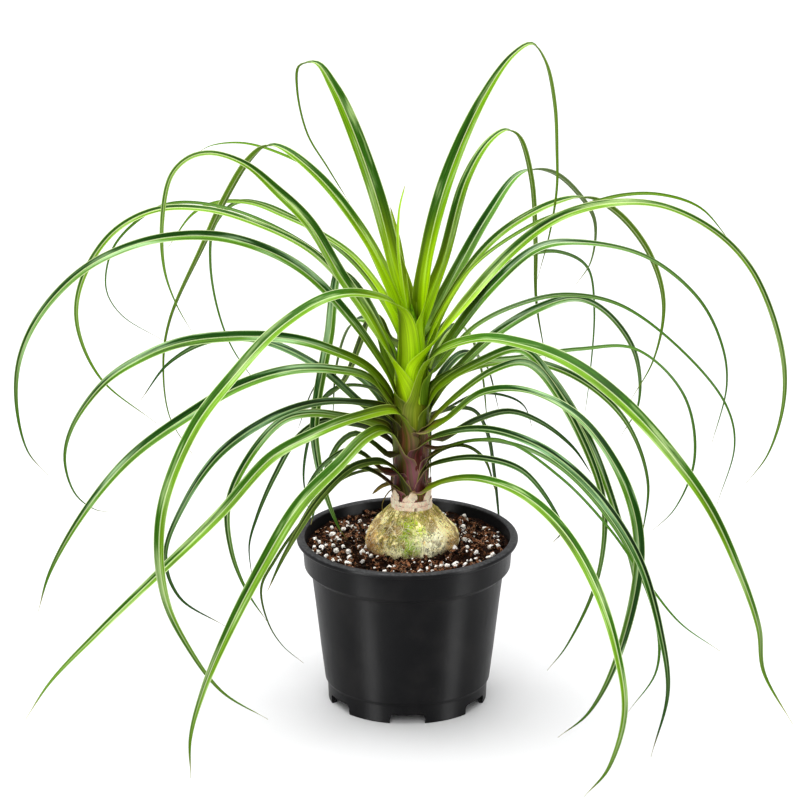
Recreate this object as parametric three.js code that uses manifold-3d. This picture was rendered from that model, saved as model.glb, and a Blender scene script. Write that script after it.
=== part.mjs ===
// Potted ponytail palm: a young plant with a swollen base and arching strap leaves, in a nursery pot.
// Millimetres, +Z up, origin on the ground under the middle of the pot. The front of the plant faces -Y.

import * as THREE from "three";
import { mergeVertices } from "three/addons/utils/BufferGeometryUtils.js";
import Module from "manifold-3d";

const wasm = await Module();
wasm.setup();

// Pot
const POT = {
  height: 128,
  rimRadius: 82.5,
  lipHeight: 4.5,
  collarHeight: 18,
  collarTopRadius: 78.3,
  collarBottomRadius: 76.8,
  collarStep: 4.6,
  wallTopRadius: 71.6,
  wallBottomRadius: 61.4,
  baseStepHeight: 17,
  footTopRadius: 59.6,
  footRadius: 59,
  wall: 1.8,
  floorBottom: 6.5,
  floorTop: 8.6,
  sides: 52,
};

// Drainage notches through the foot ring, one of them at the front
const NOTCH = { count: 6, width: 26, height: 7.6, corner: 3, innerRadius: 44, outerRadius: 66 };

// Soil
const SOIL = {
  top: 120,
  mound: 2.2,
  gap: 0.3,
  edgeDepth: 4,
  hollowRadius: 30,
  grainsFrom: 38,
  rings: 5,
  sides: 40,
  seed: 41,
  perliteGrains: 40,
  perliteSize: [1.6, 2.8],
  barkChips: 30,
  barkLength: [5, 10],
};

// Swollen base, neck and short stem: [radius, height] of the outline, bottom first
const CAUDEX_OUTLINE = [
  [0, 90],
  [12, 92],
  [22, 98],
  [29, 108],
  [33, 118],
  [34, 126],
  [31.5, 134],
  [26, 141],
  [20, 147.5],
  [16, 152],
  [14.4, 155.5],
];
const PAPERY_COLLAR = [
  [15.4, 157.5],
  [13.6, 160],
  [12, 161],
];
const STEM_OUTLINE = [
  [12, 164],
  [12.5, 200],
  [12, 245],
  [9, 285],
  [5.5, 312],
  [2, 322],
];
const STEM_TIP = 326;
const NECK_HEIGHT = 150;
const PLANT = { axisX: 3, sides: 44, lumps: 0.035 };

// Leaf blades: thickness, how deep the channel is for its width, and how far the blade rolls to the front
const BLADE = {
  thickness: 0.8,
  footClearance: 0.9,
  channel: 0.16,
  roll: 35,
  stepLength: 34,
  taperStart: 0.35,
  taperPower: 1.3,
  tipNarrowing: 0.86,
  narrowestTip: 0.9,
  flatBelow: 4.5,
};

// One row for each leaf. bearing is the side that it grows to, in degrees from +X towards +Y, turn is how
// much it swings round from foot to tip, width is the blade's full width and foot is the height where it
// leaves the stem. route lists the points that its midrib passes, as [reach from the stem's axis, height].
const LEFT_LEAVES = [
  { bearing: 156, turn: -4, width: 12.5, foot: 304, route: [
    [16, 344], [29, 390], [52, 447], [65, 470], [78, 485], [92, 481], [94, 462], [86, 429],
    [70, 406], [52, 381]] },
  { bearing: 187, turn: -2, width: 9.5, foot: 243, route: [
    [31, 299], [53, 335], [76, 376], [100, 402], [123, 423], [147, 432], [163, 429], [176, 416],
    [183, 382], [182, 344], [174, 317], [161, 291]] },
  { bearing: 154, turn: 0, width: 8.5, foot: 296, route: [
    [27, 340], [52, 374], [78, 399], [105, 415], [118, 416], [134, 402], [156, 365], [172, 331],
    [201, 267], [207, 231], [202, 189], [183, 162]] },
  { bearing: 138, turn: 0, width: 2.6, foot: 292, route: [
    [26, 319], [61, 366], [101, 392], [131, 398], [168, 398], [201, 389], [216, 380]] },
  { bearing: 203, turn: 0, width: 8.5, foot: 235, route: [
    [21, 258], [49, 305], [89, 350], [133, 376], [170, 386], [214, 386], [257, 372], [290, 344],
    [307, 313], [311, 279], [303, 239], [287, 217]] },
  { bearing: 168, turn: -2, width: 6, foot: 262, route: [
    [30, 294], [50, 321], [78, 347], [121, 365], [157, 372], [195, 368], [228, 347], [252, 307],
    [256, 273], [239, 232], [196, 199]] },
  { bearing: 158, turn: 0, width: 2.6, foot: 268, route: [
    [37, 305], [57, 328], [95, 351], [147, 366], [193, 364], [220, 347], [241, 321], [246, 289],
    [234, 271], [200, 255]] },
  { bearing: 140, turn: 0, width: 5.2, foot: 284, route: [
    [21, 305], [54, 334], [88, 346], [124, 352], [155, 355], [190, 348], [214, 334], [240, 301]] },
  { bearing: 132, turn: 0, width: 3.2, foot: 280, route: [
    [57, 322], [124, 343], [170, 346], [198, 339], [223, 313], [227, 285], [220, 252], [204, 224],
    [171, 198]] },
  { bearing: 140, turn: 48, width: 8, foot: 246, route: [
    [23, 265], [30, 287], [42, 309], [53, 322], [59, 324], [61, 315], [62, 301], [63, 281],
    [66, 261], [70, 234], [72, 209], [69, 185], [63, 160], [53, 134], [48, 127]] },
  { bearing: 220, turn: 12, width: 9.5, foot: 279, route: [
    [13, 309], [41, 326], [81, 334], [133, 323], [181, 299], [225, 271], [260, 228], [270, 193],
    [267, 153], [249, 114], [219, 72], [171, 35]] },
  { bearing: 122, turn: 0, width: 6.5, foot: 272, route: [
    [33, 272], [43, 283], [52, 284], [60, 278], [67, 266], [75, 252], [84, 236], [95, 221],
    [111, 207], [129, 194]] },
  { bearing: 188, turn: 0, width: 8.5, foot: 230, route: [
    [31, 260], [61, 277], [90, 287], [131, 291], [172, 288], [202, 277], [228, 260], [252, 227],
    [258, 201], [250, 173], [234, 160], [221, 159]] },
  { bearing: 204, turn: 0, width: 8.5, foot: 224, route: [
    [34, 256], [62, 267], [98, 272], [138, 266], [177, 250], [225, 223], [261, 187], [289, 144],
    [299, 114]] },
  { bearing: 156, turn: 4, width: 6, foot: 209, route: [
    [42, 227], [74, 250], [117, 265], [157, 262], [193, 240], [216, 208]] },
  { bearing: 192, turn: 0, width: 7.5, foot: 217, route: [
    [20, 230], [50, 237], [77, 237], [107, 228], [144, 204], [171, 167], [186, 127], [176, 93],
    [142, 67]] },
  { bearing: 150, turn: 0, width: 3, foot: 220, route: [
    [27, 236], [53, 237], [72, 227], [86, 196], [93, 158], [88, 127]] },
  { bearing: 222, turn: 0, width: 7.8, foot: 212, route: [
    [23, 233], [55, 234], [100, 231], [139, 223], [188, 192], [245, 162], [302, 132], [350, 104],
    [373, 82]] },
  { bearing: 180, turn: 0, width: 6, foot: 206, route: [
    [20, 215], [53, 222], [77, 224], [96, 218], [121, 188], [136, 152], [134, 116], [123, 84],
    [108, 59]] },
  { bearing: 234, turn: 0, width: 10.5, foot: 190, route: [
    [30, 219], [56, 222], [89, 211], [142, 193], [187, 160], [224, 126], [256, 88], [272, 56],
    [272, 24]] },
  { bearing: 166, turn: 0, width: 4.5, foot: 200, route: [
    [28, 209], [47, 212], [66, 213], [85, 200], [105, 165], [119, 131], [125, 108], [123, 82]] },
  { bearing: 197, turn: 0, width: 5, foot: 196, route: [
    [21, 196], [32, 206], [43, 213], [55, 207], [68, 181], [78, 145]] },
  { bearing: 209, turn: 0, width: 6, foot: 181, route: [
    [27, 185], [43, 201], [56, 205], [77, 195], [98, 166]] },
  { bearing: 235, turn: -4, width: 7, foot: 168, route: [
    [18, 181], [35, 196], [55, 202], [77, 203], [113, 189], [150, 157], [167, 134]] },
  { bearing: 214, turn: 0, width: 6, foot: 165, route: [
    [35, 186], [54, 193], [73, 185], [99, 157], [117, 129]] },
  { bearing: 152, turn: 0, width: 2.6, foot: 172, route: [
    [31, 174], [60, 161], [97, 116], [116, 87], [128, 62], [122, 35], [110, 19], [92, 8]] },
];

const RIGHT_LEAVES = [
  { bearing: 14, turn: 0, width: 12, foot: 296, route: [
    [12, 344], [28, 407], [55, 467], [77, 497], [91, 504], [101, 489], [108, 457], [110, 420],
    [110, 390], [105, 357], [96, 322]] },
  { bearing: 38, turn: 0, width: 8, foot: 288, route: [
    [13, 303], [30, 338], [51, 396], [72, 421], [89, 427], [101, 419], [113, 383], [117, 332],
    [118, 288], [128, 238]] },
  { bearing: 8, turn: 0, width: 9.5, foot: 262, route: [
    [29, 296], [70, 343], [107, 371], [144, 381], [185, 378], [226, 356], [255, 323], [277, 264],
    [280, 221], [269, 179], [252, 155]] },
  { bearing: 52, turn: -4, width: 8.5, foot: 284, route: [
    [24, 291], [51, 319], [89, 355], [125, 379], [161, 372], [192, 347], [210, 320], [204, 291],
    [185, 277]] },
  { bearing: 18, turn: -2, width: 2.8, foot: 276, route: [
    [45, 332], [92, 362], [126, 372], [161, 379], [192, 377], [223, 364], [248, 334]] },
  { bearing: 32, turn: -4, width: 6, foot: 266, route: [
    [25, 297], [56, 336], [83, 355], [124, 368], [152, 367], [178, 350], [205, 313], [216, 273],
    [207, 232], [186, 202]] },
  { bearing: -3, turn: 4, width: 8.5, foot: 250, route: [
    [26, 278], [59, 324], [94, 355], [124, 359], [172, 348], [211, 315], [229, 278], [233, 246],
    [222, 196]] },
  { bearing: 54, turn: 0, width: 4, foot: 268, route: [
    [42, 282], [86, 303], [144, 307], [190, 298], [229, 273], [237, 238], [232, 187], [225, 153]] },
  { bearing: 24, turn: -12, width: 3.8, foot: 260, route: [
    [15, 255], [51, 286], [85, 299], [120, 303], [162, 292], [208, 255], [243, 209], [249, 178],
    [234, 133]] },
  { bearing: -36, turn: 0, width: 11, foot: 232, route: [
    [19, 270], [58, 294], [100, 299], [142, 294], [185, 276], [228, 246], [265, 210], [292, 167],
    [310, 126], [315, 93], [341, 58]] },
  { bearing: -20, turn: 0, width: 6.5, foot: 226, route: [
    [22, 247], [55, 272], [86, 285], [108, 266], [138, 221], [162, 161], [175, 115], [170, 75]] },
  { bearing: 36, turn: 0, width: 7, foot: 234, route: [
    [33, 244], [74, 269], [119, 283], [153, 283], [182, 265], [209, 226], [212, 186], [196, 164]] },
  { bearing: -27, turn: 0, width: 6, foot: 214, route: [
    [31, 237], [69, 270], [97, 279], [124, 253], [153, 199], [159, 168], [153, 119], [129, 63],
    [113, 40]] },
  { bearing: -46, turn: 0, width: 8.5, foot: 212, route: [
    [38, 229], [76, 260], [126, 273], [179, 264], [222, 226], [236, 182], [218, 99], [188, 42],
    [155, 11]] },
  { bearing: 4, turn: -4, width: 3.2, foot: 233, route: [
    [14, 246], [43, 262], [80, 267], [125, 273], [165, 273], [201, 238], [210, 188], [196, 149],
    [179, 131]] },
  { bearing: 10, turn: 0, width: 5.5, foot: 226, route: [
    [28, 249], [53, 259], [91, 259], [127, 243], [161, 209], [179, 160], [175, 112]] },
  { bearing: -51, turn: 0, width: 7.5, foot: 198, route: [
    [29, 213], [68, 231], [112, 240], [166, 238], [219, 219], [261, 185], [285, 136], [293, 96],
    [275, 38]] },
  { bearing: 43, turn: 0, width: 2.6, foot: 218, route: [
    [29, 218], [65, 223], [97, 214], [116, 201], [124, 183]] },
  { bearing: -32, turn: -4, width: 2.4, foot: 203, route: [
    [25, 204], [78, 219], [131, 201], [176, 170], [210, 137], [240, 113], [277, 100]] },
  { bearing: 48, turn: 0, width: 3, foot: 214, route: [
    [32, 217], [69, 208], [85, 185], [93, 150], [101, 95]] },
  { bearing: -30, turn: 0, width: 3, foot: 190, route: [
    [24, 200], [58, 214], [101, 214], [138, 198], [181, 155], [207, 101], [208, 62], [185, 24]] },
  { bearing: 24, turn: 0, width: 4.5, foot: 202, route: [
    [23, 200], [53, 211], [79, 214], [105, 202], [132, 178], [148, 154]] },
  { bearing: -48, turn: 0, width: 4.8, foot: 170, route: [
    [18, 185], [42, 199], [81, 211], [124, 212], [154, 193], [164, 179], [154, 166]] },
  { bearing: -38, turn: 0, width: 3.2, foot: 180, route: [
    [19, 192], [38, 207], [55, 210], [69, 203], [78, 182]] },
  { bearing: -54, turn: -10, width: 9, foot: 166, route: [
    [17, 168], [47, 185], [91, 200], [155, 207], [214, 198], [265, 174], [302, 141], [323, 104],
    [312, 58], [283, 24]] },
];

const BACK_LEAVES = [
  { bearing: 114, turn: -4, width: 7.5, foot: 225, route: [
    [32, 252], [75, 270], [120, 255], [158, 208], [175, 158]] },
  { bearing: 92, turn: 0, width: 9, foot: 232, route: [
    [40, 258], [92, 272], [158, 252], [226, 192], [272, 112], [286, 45]] },
  { bearing: 70, turn: 0, width: 7.5, foot: 214, route: [
    [34, 244], [75, 262], [120, 250], [155, 205], [170, 155]] },
  { bearing: 62, turn: 0, width: 6.5, foot: 200, route: [
    [40, 236], [80, 246], [118, 226], [142, 180]] },
  { bearing: 128, turn: 0, width: 6.5, foot: 198, route: [
    [40, 228], [80, 236], [115, 215], [140, 170]] },
  { bearing: 84, turn: 0, width: 6.5, foot: 186, route: [
    [32, 214], [70, 228], [108, 208], [134, 165], [142, 118]] },
];

// Young leaves still joined to the growing tip of the stem: route as above, its first point in the stem
const YOUNG_LEAVES = [
  { bearing: 225, turn: 0, width: 7, route: [[2, 308], [9, 332], [14, 362], [13, 388], [7, 404]] },
  { bearing: 119, turn: 0, width: 3.2, route: [[1, 316], [11, 332], [20, 356], [32, 376]] },
];

// Materials
const leafGreen = (colour) =>
  new THREE.MeshStandardMaterial({ color: colour, roughness: 0.42, metalness: 0 });
const MATERIALS = {
  pot: new THREE.MeshStandardMaterial({ color: 0x242425, roughness: 0.48, metalness: 0 }),
  soil: new THREE.MeshStandardMaterial({ color: 0x3d2317, roughness: 0.95, metalness: 0 }),
  caudex: new THREE.MeshStandardMaterial({ color: 0xd9c79c, roughness: 0.75, metalness: 0 }),
  leftLeaf: leafGreen(0x3f7a2c),
  rightLeaf: leafGreen(0x4b8a30),
  backLeaf: leafGreen(0x35682a),
};

const radians = THREE.MathUtils.degToRad;

function smoothStep(value) {
  const t = THREE.MathUtils.clamp(value, 0, 1);
  return t * t * (3 - 2 * t);
}

// Repeatable draw of numbers from 0 to 1
function seededDraw(seed) {
  let state = seed >>> 0;
  return () => {
    state = (Math.imul(state, 1664525) + 1013904223) >>> 0;
    return state / 4294967296;
  };
}

// Closed triangle mesh as a solid, with its matrix applied
function solidOf(geometry, matrix = new THREE.Matrix4()) {
  const flat = geometry.index ? geometry.toNonIndexed() : geometry.clone();
  const bare = new THREE.BufferGeometry();
  bare.setAttribute("position", flat.getAttribute("position").clone());
  bare.applyMatrix4(matrix);
  const merged = mergeVertices(bare, 1e-3);
  const made = new wasm.Manifold(
    new wasm.Mesh({
      numProp: 3,
      vertProperties: merged.attributes.position.array,
      triVerts: new Uint32Array(merged.index.array),
    }),
  );
  if (made.volume() < 0) throw new Error("a solid has its faces turned in");
  return made;
}

function meshOf(solid, name, material) {
  const shape = solid.getMesh();
  const stride = shape.numProp;
  const positions = new Float32Array(shape.numVert * 3);
  for (let i = 0; i < shape.numVert; i++) {
    positions.set(shape.vertProperties.subarray(i * stride, i * stride + 3), i * 3);
  }
  const geometry = new THREE.BufferGeometry();
  geometry.setAttribute("position", new THREE.BufferAttribute(positions, 3));
  geometry.setIndex(new THREE.BufferAttribute(new Uint32Array(shape.triVerts), 1));
  geometry.computeVertexNormals();
  const mesh = new THREE.Mesh(geometry, material);
  mesh.name = name;
  return mesh;
}

// Solid of revolution about +Z from [radius, height] points, anticlockwise in the (radius, height) plane
function turned(outline, sides, reshape = (x) => x) {
  const points = outline.map(([radius, height]) => new THREE.Vector2(radius, height));
  const geometry = new THREE.LatheGeometry(points, sides);
  geometry.rotateX(Math.PI / 2);
  const position = geometry.getAttribute("position");
  const point = new THREE.Vector3();
  for (let i = 0; i < position.count; i++) {
    point.fromBufferAttribute(position, i);
    reshape(point);
    position.setXYZ(i, point.x, point.y, point.z);
  }
  return solidOf(geometry);
}

// Quarter round between two directions, as [radius, height] points
function arc(centreRadius, centreHeight, radius, fromDegrees, toDegrees, steps) {
  const points = [];
  for (let i = 0; i <= steps; i++) {
    const angle = radians(fromDegrees + ((toDegrees - fromDegrees) * i) / steps);
    points.push([centreRadius + radius * Math.cos(angle), centreHeight + radius * Math.sin(angle)]);
  }
  return points;
}

// Outer radius of the wall between collar and base step
function wallRadius(height) {
  const top = POT.height - POT.lipHeight - POT.collarHeight - POT.collarStep;
  const share = (height - POT.baseStepHeight) / (top - POT.baseStepHeight);
  return POT.wallBottomRadius + (POT.wallTopRadius - POT.wallBottomRadius) * share;
}

function innerRadius(height) {
  const collarBottom = POT.height - POT.lipHeight - POT.collarHeight;
  if (height >= collarBottom) {
    const share = (height - collarBottom) / (POT.height - collarBottom);
    const bottom = POT.collarBottomRadius - POT.wall;
    return bottom + (POT.collarTopRadius - POT.wall - bottom) * share;
  }
  const ledge = collarBottom - POT.collarStep;
  if (height >= ledge) {
    const share = (height - ledge) / POT.collarStep;
    const low = POT.wallTopRadius - POT.wall;
    return low + (POT.collarBottomRadius - POT.wall - low) * share;
  }
  return wallRadius(Math.max(height, POT.floorTop)) - POT.wall;
}

function pot() {
  const lipBottom = POT.height - POT.lipHeight;
  const collarBottom = lipBottom - POT.collarHeight;
  const ledge = collarBottom - POT.collarStep;
  const lipRound = POT.lipHeight / 2;
  const outline = [
    [0, POT.floorBottom],
    [POT.footRadius - POT.wall - 2, POT.floorBottom],
    [POT.footRadius - POT.wall - 2, 0],
    [POT.footRadius, 0],
    [POT.footTopRadius, POT.baseStepHeight - 3],
    [POT.wallBottomRadius, POT.baseStepHeight],
    [POT.wallTopRadius, ledge],
    [POT.collarBottomRadius, collarBottom],
    [POT.collarTopRadius, lipBottom],
    ...arc(POT.rimRadius - lipRound, lipBottom + lipRound, lipRound, -80, 90, 5),
    ...arc(innerRadius(POT.height) + 1, POT.height - 1, 1, 90, 180, 2),
    [innerRadius(collarBottom), collarBottom],
    [innerRadius(ledge), ledge],
    [innerRadius(POT.floorTop), POT.floorTop],
    [0, POT.floorTop],
  ];
  let made = turned(outline, POT.sides);
  for (let i = 0; i < NOTCH.count; i++) {
    made = made.subtract(notch(-90 + (360 / NOTCH.count) * i));
  }
  return made;
}

// One arched opening through the foot ring, cut outwards along its bearing
function notch(bearing) {
  const half = NOTCH.width / 2;
  const shape = new THREE.Shape();
  shape.moveTo(-half, -2);
  shape.lineTo(half, -2);
  shape.lineTo(half, NOTCH.height - NOTCH.corner);
  shape.absarc(half - NOTCH.corner, NOTCH.height - NOTCH.corner, NOTCH.corner, 0, Math.PI / 2);
  shape.absarc(NOTCH.corner - half, NOTCH.height - NOTCH.corner, NOTCH.corner, Math.PI / 2, Math.PI);
  shape.closePath();
  const geometry = new THREE.ExtrudeGeometry(shape, {
    depth: NOTCH.outerRadius - NOTCH.innerRadius,
    bevelEnabled: false,
    curveSegments: 4,
  });
  // The shape's x runs along the ring, its y is up, and its depth points outwards
  const angle = radians(bearing);
  const outwards = new THREE.Vector3(Math.cos(angle), Math.sin(angle), 0);
  const up = new THREE.Vector3(0, 0, 1);
  const along = new THREE.Vector3().crossVectors(up, outwards);
  const matrix = new THREE.Matrix4().makeBasis(along, up, outwards);
  matrix.setPosition(outwards.multiplyScalar(NOTCH.innerRadius));
  return solidOf(geometry, matrix);
}

// Radius of the stem at a height
function stemRadius(height) {
  for (let i = 1; i < STEM_OUTLINE.length; i++) {
    const [radius, top] = STEM_OUTLINE[i];
    const [radiusBelow, bottom] = STEM_OUTLINE[i - 1];
    if (height <= top) {
      const share = THREE.MathUtils.clamp((height - bottom) / (top - bottom), 0, 1);
      return THREE.MathUtils.lerp(radiusBelow, radius, share);
    }
  }
  return STEM_OUTLINE[STEM_OUTLINE.length - 1][0];
}

// Slow lumps round the swollen base, none at its neck
function lumpy(point) {
  const angle = Math.atan2(point.y, point.x);
  const share = smoothStep((NECK_HEIGHT - point.z) / 20);
  const lump = Math.sin(2 * angle + 0.6) + 0.6 * Math.sin(3 * angle + 2.1 + point.z * 0.05);
  const scale = 1 + PLANT.lumps * share * lump;
  point.x = point.x * scale + PLANT.axisX;
  point.y *= scale;
}

function caudexAndStem() {
  const outline = [...CAUDEX_OUTLINE, ...PAPERY_COLLAR, ...STEM_OUTLINE, [0, STEM_TIP]];
  let made = turned(outline, PLANT.sides, lumpy);
  for (const row of YOUNG_LEAVES) {
    made = made.add(blade(row, row.route));
  }
  return made;
}

// Height of the soil's surface: a low mound with slow waves
function soilHeight(x, y) {
  const wave = Math.sin(x * 0.11 + 1.3) * Math.cos(y * 0.13 - 0.4) + 0.5 * Math.sin(x * 0.23 - y * 0.19);
  const reach = Math.hypot(x - PLANT.axisX, y);
  return SOIL.top + SOIL.mound * (0.45 * wave + smoothStep((60 - reach) / 30) - 0.3);
}

function soil() {
  const sideTop = SOIL.top - SOIL.edgeDepth / 2;
  const bottom = POT.floorTop + SOIL.gap;
  const ledge = POT.height - POT.lipHeight - POT.collarHeight - POT.collarStep;
  const againstWall = (height) => [innerRadius(height) - SOIL.gap, height];
  const [edge] = againstWall(SOIL.top);
  const top = [];
  for (let i = 0; i <= SOIL.rings; i++) {
    top.push([edge - ((edge - SOIL.hollowRadius) * i) / SOIL.rings, SOIL.top]);
  }
  const outline = [
    [0, bottom],
    againstWall(bottom),
    againstWall(ledge),
    againstWall(ledge + POT.collarStep),
    againstWall(SOIL.top - SOIL.edgeDepth),
    ...top,
    [0, SOIL.top],
  ];
  const surface = (point) => {
    if (point.z > sideTop) point.z = soilHeight(point.x, point.y);
  };
  let made = turned(outline, SOIL.sides, surface);
  const draw = seededDraw(SOIL.seed);
  for (let i = 0; i < SOIL.perliteGrains; i++) {
    made = made.add(grain(draw));
  }
  for (let i = 0; i < SOIL.barkChips; i++) {
    made = made.add(chip(draw));
  }
  return made.subtract(hollow());
}

// The swollen base, grown by the gap, which the soil lies against
function hollow() {
  const grown = CAUDEX_OUTLINE.map(([radius, height]) => [
    radius ? radius + SOIL.gap : 0,
    height < SOIL.top ? height - SOIL.gap : height,
  ]);
  const [neck, shoulder] = grown[grown.length - 1];
  return turned([...grown, [neck, shoulder + 10], [0, shoulder + 10]], PLANT.sides, lumpy);
}

// A place on the soil between the swollen base and the wall of the pot
function soilPlace(draw, margin) {
  const inner = SOIL.grainsFrom;
  const outer = innerRadius(SOIL.top) - margin;
  const reach = Math.sqrt(inner * inner + (outer * outer - inner * inner) * draw());
  const angle = 2 * Math.PI * draw();
  return new THREE.Vector3(reach * Math.cos(angle), reach * Math.sin(angle), 0);
}

function grain(draw) {
  const place = soilPlace(draw, 5);
  const size = THREE.MathUtils.lerp(...SOIL.perliteSize, draw());
  const turn = new THREE.Euler(3 * draw(), 3 * draw(), 3 * draw());
  place.z = soilHeight(place.x, place.y) + size * 0.25;
  const matrix = new THREE.Matrix4().compose(
    place,
    new THREE.Quaternion().setFromEuler(turn),
    new THREE.Vector3(size, size * 0.85, size * 0.8),
  );
  return solidOf(new THREE.OctahedronGeometry(1, 0), matrix);
}

function chip(draw) {
  const place = soilPlace(draw, 7);
  const length = THREE.MathUtils.lerp(...SOIL.barkLength, draw());
  const turn = new THREE.Euler(0.5 * draw() - 0.25, 0.5 * draw() - 0.25, 2 * Math.PI * draw());
  place.z = soilHeight(place.x, place.y) + 0.4;
  const matrix = new THREE.Matrix4().compose(
    place,
    new THREE.Quaternion().setFromEuler(turn),
    new THREE.Vector3(length, length * 0.45, 2.6),
  );
  return solidOf(new THREE.BoxGeometry(1, 1, 1), matrix);
}

// Midrib of a leaf: stations along the curve through its route, closer together where it bends
function midrib(row, route) {
  const lengths = [];
  for (let i = 1; i < route.length; i++) {
    lengths.push(Math.hypot(route[i][0] - route[i - 1][0], route[i][1] - route[i - 1][1]));
  }
  const whole = lengths.reduce((sum, length) => sum + length, 0);
  let walked = 0;
  const points = route.map(([reach, height], i) => {
    if (i > 0) walked += lengths[i - 1];
    const bearing = radians(row.bearing + (row.turn * walked) / whole);
    return new THREE.Vector3(PLANT.axisX + reach * Math.cos(bearing), reach * Math.sin(bearing), height);
  });
  const curve = new THREE.CatmullRomCurve3(points, false, "centripetal");
  const stations = [];
  let start = 0;
  lengths.forEach((length, i) => {
    const steps = THREE.MathUtils.clamp(Math.round(length / BLADE.stepLength + 0.25), 1, 4);
    for (let j = 0; j < steps; j++) {
      stations.push({
        point: curve.getPoint((i + j / steps) / lengths.length),
        share: (start + (length * j) / steps) / whole,
      });
    }
    start += length;
  });
  stations.push({ point: points[points.length - 1].clone(), share: 1 });
  return stations;
}

function bladeWidth(share, full) {
  const foot = 0.9 + 0.1 * Math.min(1, share / 0.12);
  const past = Math.max(0, (share - BLADE.taperStart) / (1 - BLADE.taperStart));
  const taper = 1 - BLADE.tipNarrowing * Math.pow(past, BLADE.taperPower);
  return Math.max(BLADE.narrowestTip, full * foot * taper);
}

// Section across the blade as [sideways, upwards] points: a shallow channel, or flat for a thread
function bladeSection(share, full) {
  const half = bladeWidth(share, full) / 2;
  const t = BLADE.thickness / 2;
  if (full < BLADE.flatBelow) {
    return [[-half, t], [-half, -t], [half, -t], [half, t]];
  }
  const rise = BLADE.channel * 2 * half * smoothStep(share / 0.1);
  return [[-half, rise + t], [-half, rise - t], [0, -t], [half, rise - t], [half, rise + t], [0, t]];
}

// A strap leaf: its section swept along the midrib, rolled so that its upper face turns to the front
function blade(row, route) {
  const stations = midrib(row, route);
  const side = Math.cos(radians(row.bearing)) >= 0 ? 1 : -1;
  const rings = stations.map(({ point, share }, i) => {
    const before = stations[Math.max(0, i - 1)].point;
    const after = stations[Math.min(stations.length - 1, i + 1)].point;
    const along = new THREE.Vector3().subVectors(after, before).normalize();
    const bearing = radians(row.bearing + row.turn * share);
    const across = new THREE.Vector3(-Math.sin(bearing), Math.cos(bearing), 0);
    across.addScaledVector(along, -across.dot(along)).normalize();
    const up = new THREE.Vector3().crossVectors(along, across);
    const roll = radians(BLADE.roll) * side * smoothStep(share / 0.3);
    const wide = across.clone().multiplyScalar(Math.cos(roll)).addScaledVector(up, Math.sin(roll));
    const face = up.multiplyScalar(Math.cos(roll)).addScaledVector(across, -Math.sin(roll));
    return bladeSection(share, row.width).map(([sideways, upwards]) =>
      point.clone().addScaledVector(wide, sideways).addScaledVector(face, upwards),
    );
  });
  return sweptSolid(rings);
}

// Closed solid through rings of the same number of points, with flat ends
function sweptSolid(rings) {
  const count = rings[0].length;
  const positions = rings.flat().flatMap((point) => point.toArray());
  const faces = [];
  for (let i = 0; i < rings.length - 1; i++) {
    for (let j = 0; j < count; j++) {
      const a = i * count + j;
      const b = i * count + ((j + 1) % count);
      faces.push(a, b, b + count, a, b + count, a + count);
    }
  }
  const cap = count === 4
    ? [[0, 2, 1], [0, 3, 2]]
    : [[0, 2, 1], [0, 5, 2], [5, 4, 3], [5, 3, 2]];
  const last = (rings.length - 1) * count;
  for (const [a, b, c] of cap) {
    faces.push(a, b, c, last + a, last + c, last + b);
  }
  const geometry = new THREE.BufferGeometry();
  geometry.setAttribute("position", new THREE.Float32BufferAttribute(positions, 3));
  geometry.setIndex(faces);
  return solidOf(geometry);
}

// A whole leaf, from its foot beside the stem to its tip
function leaf(row) {
  const foot = [stemRadius(row.foot) + BLADE.footClearance, row.foot];
  return blade(row, [foot, ...row.route]);
}

function leafGroup(rows, side, material) {
  const group = new THREE.Group();
  group.name = `leaves_${side}`;
  rows.forEach((row, i) => {
    const number = String(i + 1).padStart(2, "0");
    group.add(meshOf(leaf(row), `leaf_${side}_${number}`, material));
  });
  return group;
}

const root = new THREE.Group();
root.name = "potted_ponytail_palm";
root.add(meshOf(pot(), "pot", MATERIALS.pot));
root.add(meshOf(soil(), "soil", MATERIALS.soil));
root.add(meshOf(caudexAndStem(), "caudex_and_stem", MATERIALS.caudex));
root.add(leafGroup(LEFT_LEAVES, "left", MATERIALS.leftLeaf));
root.add(leafGroup(RIGHT_LEAVES, "right", MATERIALS.rightLeaf));
root.add(leafGroup(BACK_LEAVES, "back", MATERIALS.backLeaf));

export default root;
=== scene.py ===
"""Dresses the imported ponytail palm: its leaves, swollen base, soil and pot, in a small pale studio."""

import logging
import math
from dataclasses import dataclass
from enum import Enum
from functools import reduce
from typing import ClassVar

import bmesh
import bpy
import numpy as np
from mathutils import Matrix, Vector, noise


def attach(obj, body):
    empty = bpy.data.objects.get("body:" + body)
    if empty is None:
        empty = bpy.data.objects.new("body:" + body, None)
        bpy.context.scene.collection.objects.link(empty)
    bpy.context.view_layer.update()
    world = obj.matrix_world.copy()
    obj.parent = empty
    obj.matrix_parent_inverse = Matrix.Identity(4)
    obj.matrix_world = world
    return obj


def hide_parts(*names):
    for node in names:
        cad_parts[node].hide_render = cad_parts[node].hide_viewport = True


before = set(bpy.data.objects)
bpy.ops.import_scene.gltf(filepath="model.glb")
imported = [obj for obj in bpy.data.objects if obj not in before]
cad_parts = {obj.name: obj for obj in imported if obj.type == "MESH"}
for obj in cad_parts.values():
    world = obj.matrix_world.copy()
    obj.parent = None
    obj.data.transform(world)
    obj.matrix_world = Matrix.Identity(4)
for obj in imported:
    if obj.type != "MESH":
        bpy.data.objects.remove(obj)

LOG = logging.getLogger("ponytail_palm")

MM = 0.001
BODY = "root"
ALL_PIECES = "all_pieces"
FLOOR = "floor"

# The plant's upright axis stands this many millimetres to the right of the pot's.
AXIS_X = 3.0

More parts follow.
